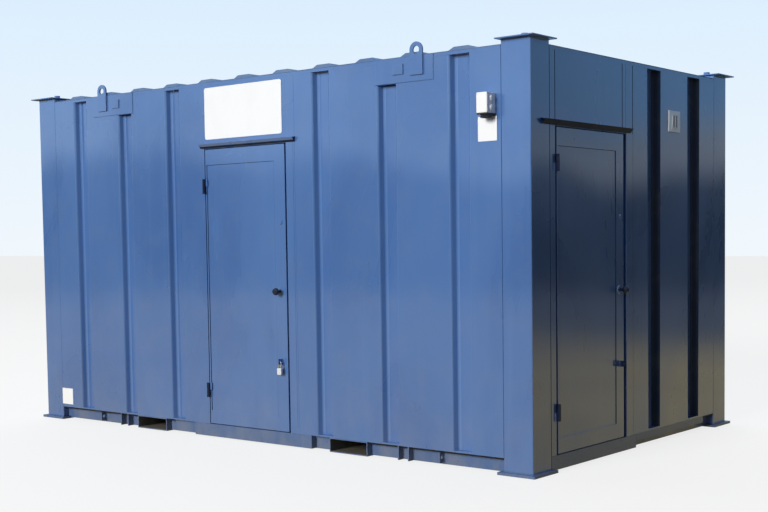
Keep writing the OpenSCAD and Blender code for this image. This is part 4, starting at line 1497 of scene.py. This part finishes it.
@dataclass
class Setting:
    """The floor, the lights and the camera, which aren't part of the cabin."""

    floor_reach: float = 260.0
    floor_far: tuple[Point, Point] = ((-131.8, 85.3, 0.0), (-26.3, 72.3, 0.0))
    sun_strength: float = 2.98
    sun_soft: float = 24.0
    sun_from: Point = (-0.06, -1.0, 0.30)
    ambient: float = 0.07
    back_fill: float = 2.3
    back_from: Point = (-0.70, 0.64, 0.30)
    back_width: float = 0.35
    sky_top: float = 0.19
    flag_radius: float = 19.0
    flag_height: float = 40.0
    flag_fade: tuple[float, float] = (2.3, 3.15)
    haze_fade: tuple[float, float] = (3.2, 4.3)
    crown_rise: float = 3.6
    near_drop: float = 0.5
    soil_fade: tuple[float, float] = (4.0, 11.0)
    lens_mm: float = 59.12
    lens_shift: float = 0.0779
    camera_at: Point = (6.480, -7.770, 1.454)
    camera_turn: Point = (39.19, 86.52, -0.797)

    def build(self) -> None:
        """Builds the setting."""
        self.floor()
        self.flags()
        self.sky()
        self.sun()
        self.camera()
        bpy.context.scene.view_settings.view_transform = "Standard"

    @staticmethod
    def stand(name: str, bm: bmesh.types.BMesh, sheet: NodeSheet) -> bpy.types.Object:
        """Stands a part of the setting in the scene.

        Args:
            name: Its name.
            bm: Its shape.
            sheet: Its material's nodes.

        Returns:
            Its object.
        """
        mesh = bpy.data.meshes.new(name)
        bm.to_mesh(mesh)
        bm.free()
        mesh.materials.append(sheet.owner)
        thing = bpy.data.objects.new(name, mesh)
        bpy.context.scene.collection.objects.link(thing)
        return thing

    def floor(self) -> None:
        """Lays the pale floor, whose far edge lies where the backdrop starts."""
        bm = bmesh.new()
        bmesh.ops.create_grid(bm, x_segments=1, y_segments=1, size=self.floor_reach)
        start, end = (Vector(point) for point in self.floor_far)
        away = Vector((start.y - end.y, end.x - start.x, 0.0)).normalized()
        bmesh.ops.bisect_plane(bm, geom=bm.verts[:] + bm.edges[:] + bm.faces[:], plane_co=start,
                               plane_no=away, clear_outer=True)
        sheet = NodeSheet("studio_floor")
        distance = sheet.add("ShaderNodeVectorMath", operation="DOT_PRODUCT")
        sheet.join(sheet.place, distance.inputs[0])
        distance.inputs[1].default_value = (-0.63, 0.77, 0.0)
        pale = sheet.blend(sheet.ease(distance.outputs["Value"], -8.0, 34.0),
                           (0.80, 0.80, 0.80), (0.70, 0.70, 0.70))
        soil = sheet.blend(sheet.times(sheet.noise(0.3, 4), 0.04), pale, (0.6, 0.6, 0.6))
        lit = sheet.add("ShaderNodeAddShader")
        sheet.join(sheet.glow("ShaderNodeEmission", soil), lit.inputs[0])
        sheet.join(sheet.glow("ShaderNodeBsdfDiffuse", (0.2, 0.2, 0.2)), lit.inputs[1])
        dull = sheet.glow("ShaderNodeBsdfDiffuse", (0.15, 0.147, 0.143))
        sheet.join(sheet.either(sheet.seen(), dull, lit.outputs[0]),
                   sheet.output.inputs["Surface"])
        self.stand("studio_floor", bm, sheet)

    def flags(self) -> None:
        """Stands flags all round, which show only in the gloss of the paint.

        They lie dull on the floor, warm in front and cool behind, stand dark and uneven above
        it, and turn into a blue gel higher up, brighter on the side of the main light.
        """
        bm = bmesh.new()
        bmesh.ops.create_cone(bm, cap_ends=False, segments=96, radius1=self.flag_radius,
                              radius2=self.flag_radius, depth=self.flag_height,
                              matrix=Matrix.Translation((0, 0, self.flag_height / 2)))
        bmesh.ops.create_circle(bm, cap_ends=True, segments=96, radius=self.flag_radius,
                                matrix=Matrix.Translation((0, 0, 0.0005)))
        sheet = NodeSheet("studio_flags")
        height = sheet.part("Z")
        crowns = sheet.noise(0.14, 2, 0.5, (1, 1, 0.5), (4, 1, 0), 0.6)
        rise = sheet.times(sheet.sum(crowns, 0.5, "SUBTRACT"), self.crown_rise)
        raised = sheet.sum(height, rise, "SUBTRACT")
        near = sheet.ease(sheet.part("Y"), -15.0, 15.0, 1.0, 0.0)
        raised = sheet.sum(raised, sheet.times(near, self.near_drop), "SUBTRACT")
        gel = sheet.blend(near, (0.24, 0.52, 0.96), (1.05, 1.45, 1.95))
        haze = sheet.blend(near, (0.50, 0.55, 0.58), (1.1, 1.42, 1.8))
        gel = sheet.blend(sheet.ease(raised, *self.haze_fade), haze, gel)
        clouds = sheet.ease(sheet.noise(0.3, 2, 0.5, (1, 1, 1.2), (3, 6, 2), 0.4), 0.40, 0.60)
        gel = sheet.blend(sheet.times(clouds, sheet.ease(near, 0.0, 1.0, 0.15, 0.5)), gel,
                          (0.12, 0.16, 0.22))
        tone = sheet.blend(sheet.ease(raised, *self.flag_fade), (0.010, 0.013, 0.018), gel)
        soil = sheet.blend(sheet.ease(sheet.noise(0.5, 3), 0.3, 0.7), (0.64, 0.55, 0.29),
                           (0.54, 0.46, 0.24))
        soil = sheet.blend(sheet.ease(sheet.part("Y"), *self.soil_fade), soil,
                           (0.13, 0.16, 0.21))
        tone = sheet.blend(sheet.ease(sheet.sum(height, sheet.times(crowns, 0.5), "SUBTRACT"),
                                      -0.25, 0.4), soil, tone)
        sheet.join(sheet.glow("ShaderNodeEmission", tone), sheet.output.inputs["Surface"])
        flags = self.stand("studio_flags", bm, sheet)
        flags.visible_camera = False
        flags.visible_diffuse = False
        flags.visible_shadow = False
        flags.visible_transmission = False

    def sky(self) -> None:
        """Sets the pale backdrop that is seen, and the soft light that falls from all round."""
        sheet = NodeSheet("studio", sky=True)
        bpy.context.scene.world = sheet.owner
        split = sheet.add("ShaderNodeSeparateXYZ")
        sheet.join(sheet.place, split.inputs[0])
        height = sheet.add("ShaderNodeMapRange")
        sheet.join(split.outputs["Z"], height.inputs["Value"])
        height.inputs["From Max"].default_value = self.sky_top
        tint = sheet.blend(height.outputs["Result"], linear(240, 247, 253),
                           linear(219, 238, 254))
        behind = sheet.add("ShaderNodeVectorMath", operation="DOT_PRODUCT")
        sheet.join(sheet.place, behind.inputs[0])
        behind.inputs[1].default_value = Vector(self.back_from).normalized()
        fill = sheet.ease(behind.outputs["Value"], self.back_width, 1.0, self.ambient,
                          self.ambient + self.back_fill)
        shown = sheet.glow("ShaderNodeBackground", tint)
        soft = sheet.glow("ShaderNodeBackground", (0.88, 0.94, 1.0), fill)
        sheet.join(sheet.either(sheet.seen(), soft, shown), sheet.output.inputs["Surface"])

    def sun(self) -> None:
        """Hangs the broad main light, low in front."""
        lamp = bpy.data.lights.new("key_light", "SUN")
        lamp.energy = self.sun_strength
        lamp.angle = math.radians(self.sun_soft)
        lamp.color = (1.0, 0.99, 0.965)
        holder = bpy.data.objects.new("key_light", lamp)
        holder.visible_glossy = False
        bpy.context.scene.collection.objects.link(holder)
        holder.rotation_mode = "QUATERNION"
        holder.rotation_quaternion = Vector(self.sun_from).to_track_quat("Z", "Y")

    def camera(self) -> None:
        """Stands the camera at the right front corner, a little below eye height."""
        lens = bpy.data.cameras.new("camera")
        lens.lens = self.lens_mm
        lens.sensor_width = 36.0
        lens.shift_y = self.lens_shift
        lens.clip_end = 600.0
        camera = bpy.data.objects.new("camera", lens)
        bpy.context.scene.collection.objects.link(camera)
        bearing, tilt, roll = (math.radians(angle) for angle in self.camera_turn)
        turn = (Matrix.Rotation(bearing, 4, "Z") @ Matrix.Rotation(tilt, 4, "X")
                @ Matrix.Rotation(roll, 4, "Z"))
        camera.matrix_world = Matrix.Translation(self.camera_at) @ turn
        bpy.context.scene.camera = camera


def main() -> None:
    """Builds the cabin's pieces in order, then its setting."""
    logging.basicConfig(level=logging.INFO, format="%(name)s %(message)s")
    Shell().build()
    Seams().build()
    Lining().build()
    # The side door's lug takes finish 4, the dark blue of painted shade.
    doors = [Door("front", Facing.FRONT, (0.357, 1.858)),
             Door("side", Facing.SIDE, (0.367, 1.907), lug_finish=4)]
    for door in doors:
        door.build()
    hinge_halves(doors)
    Padlock().build()
    Fittings().build()
    Setting().build()


if __name__ == "__main__":
    main()
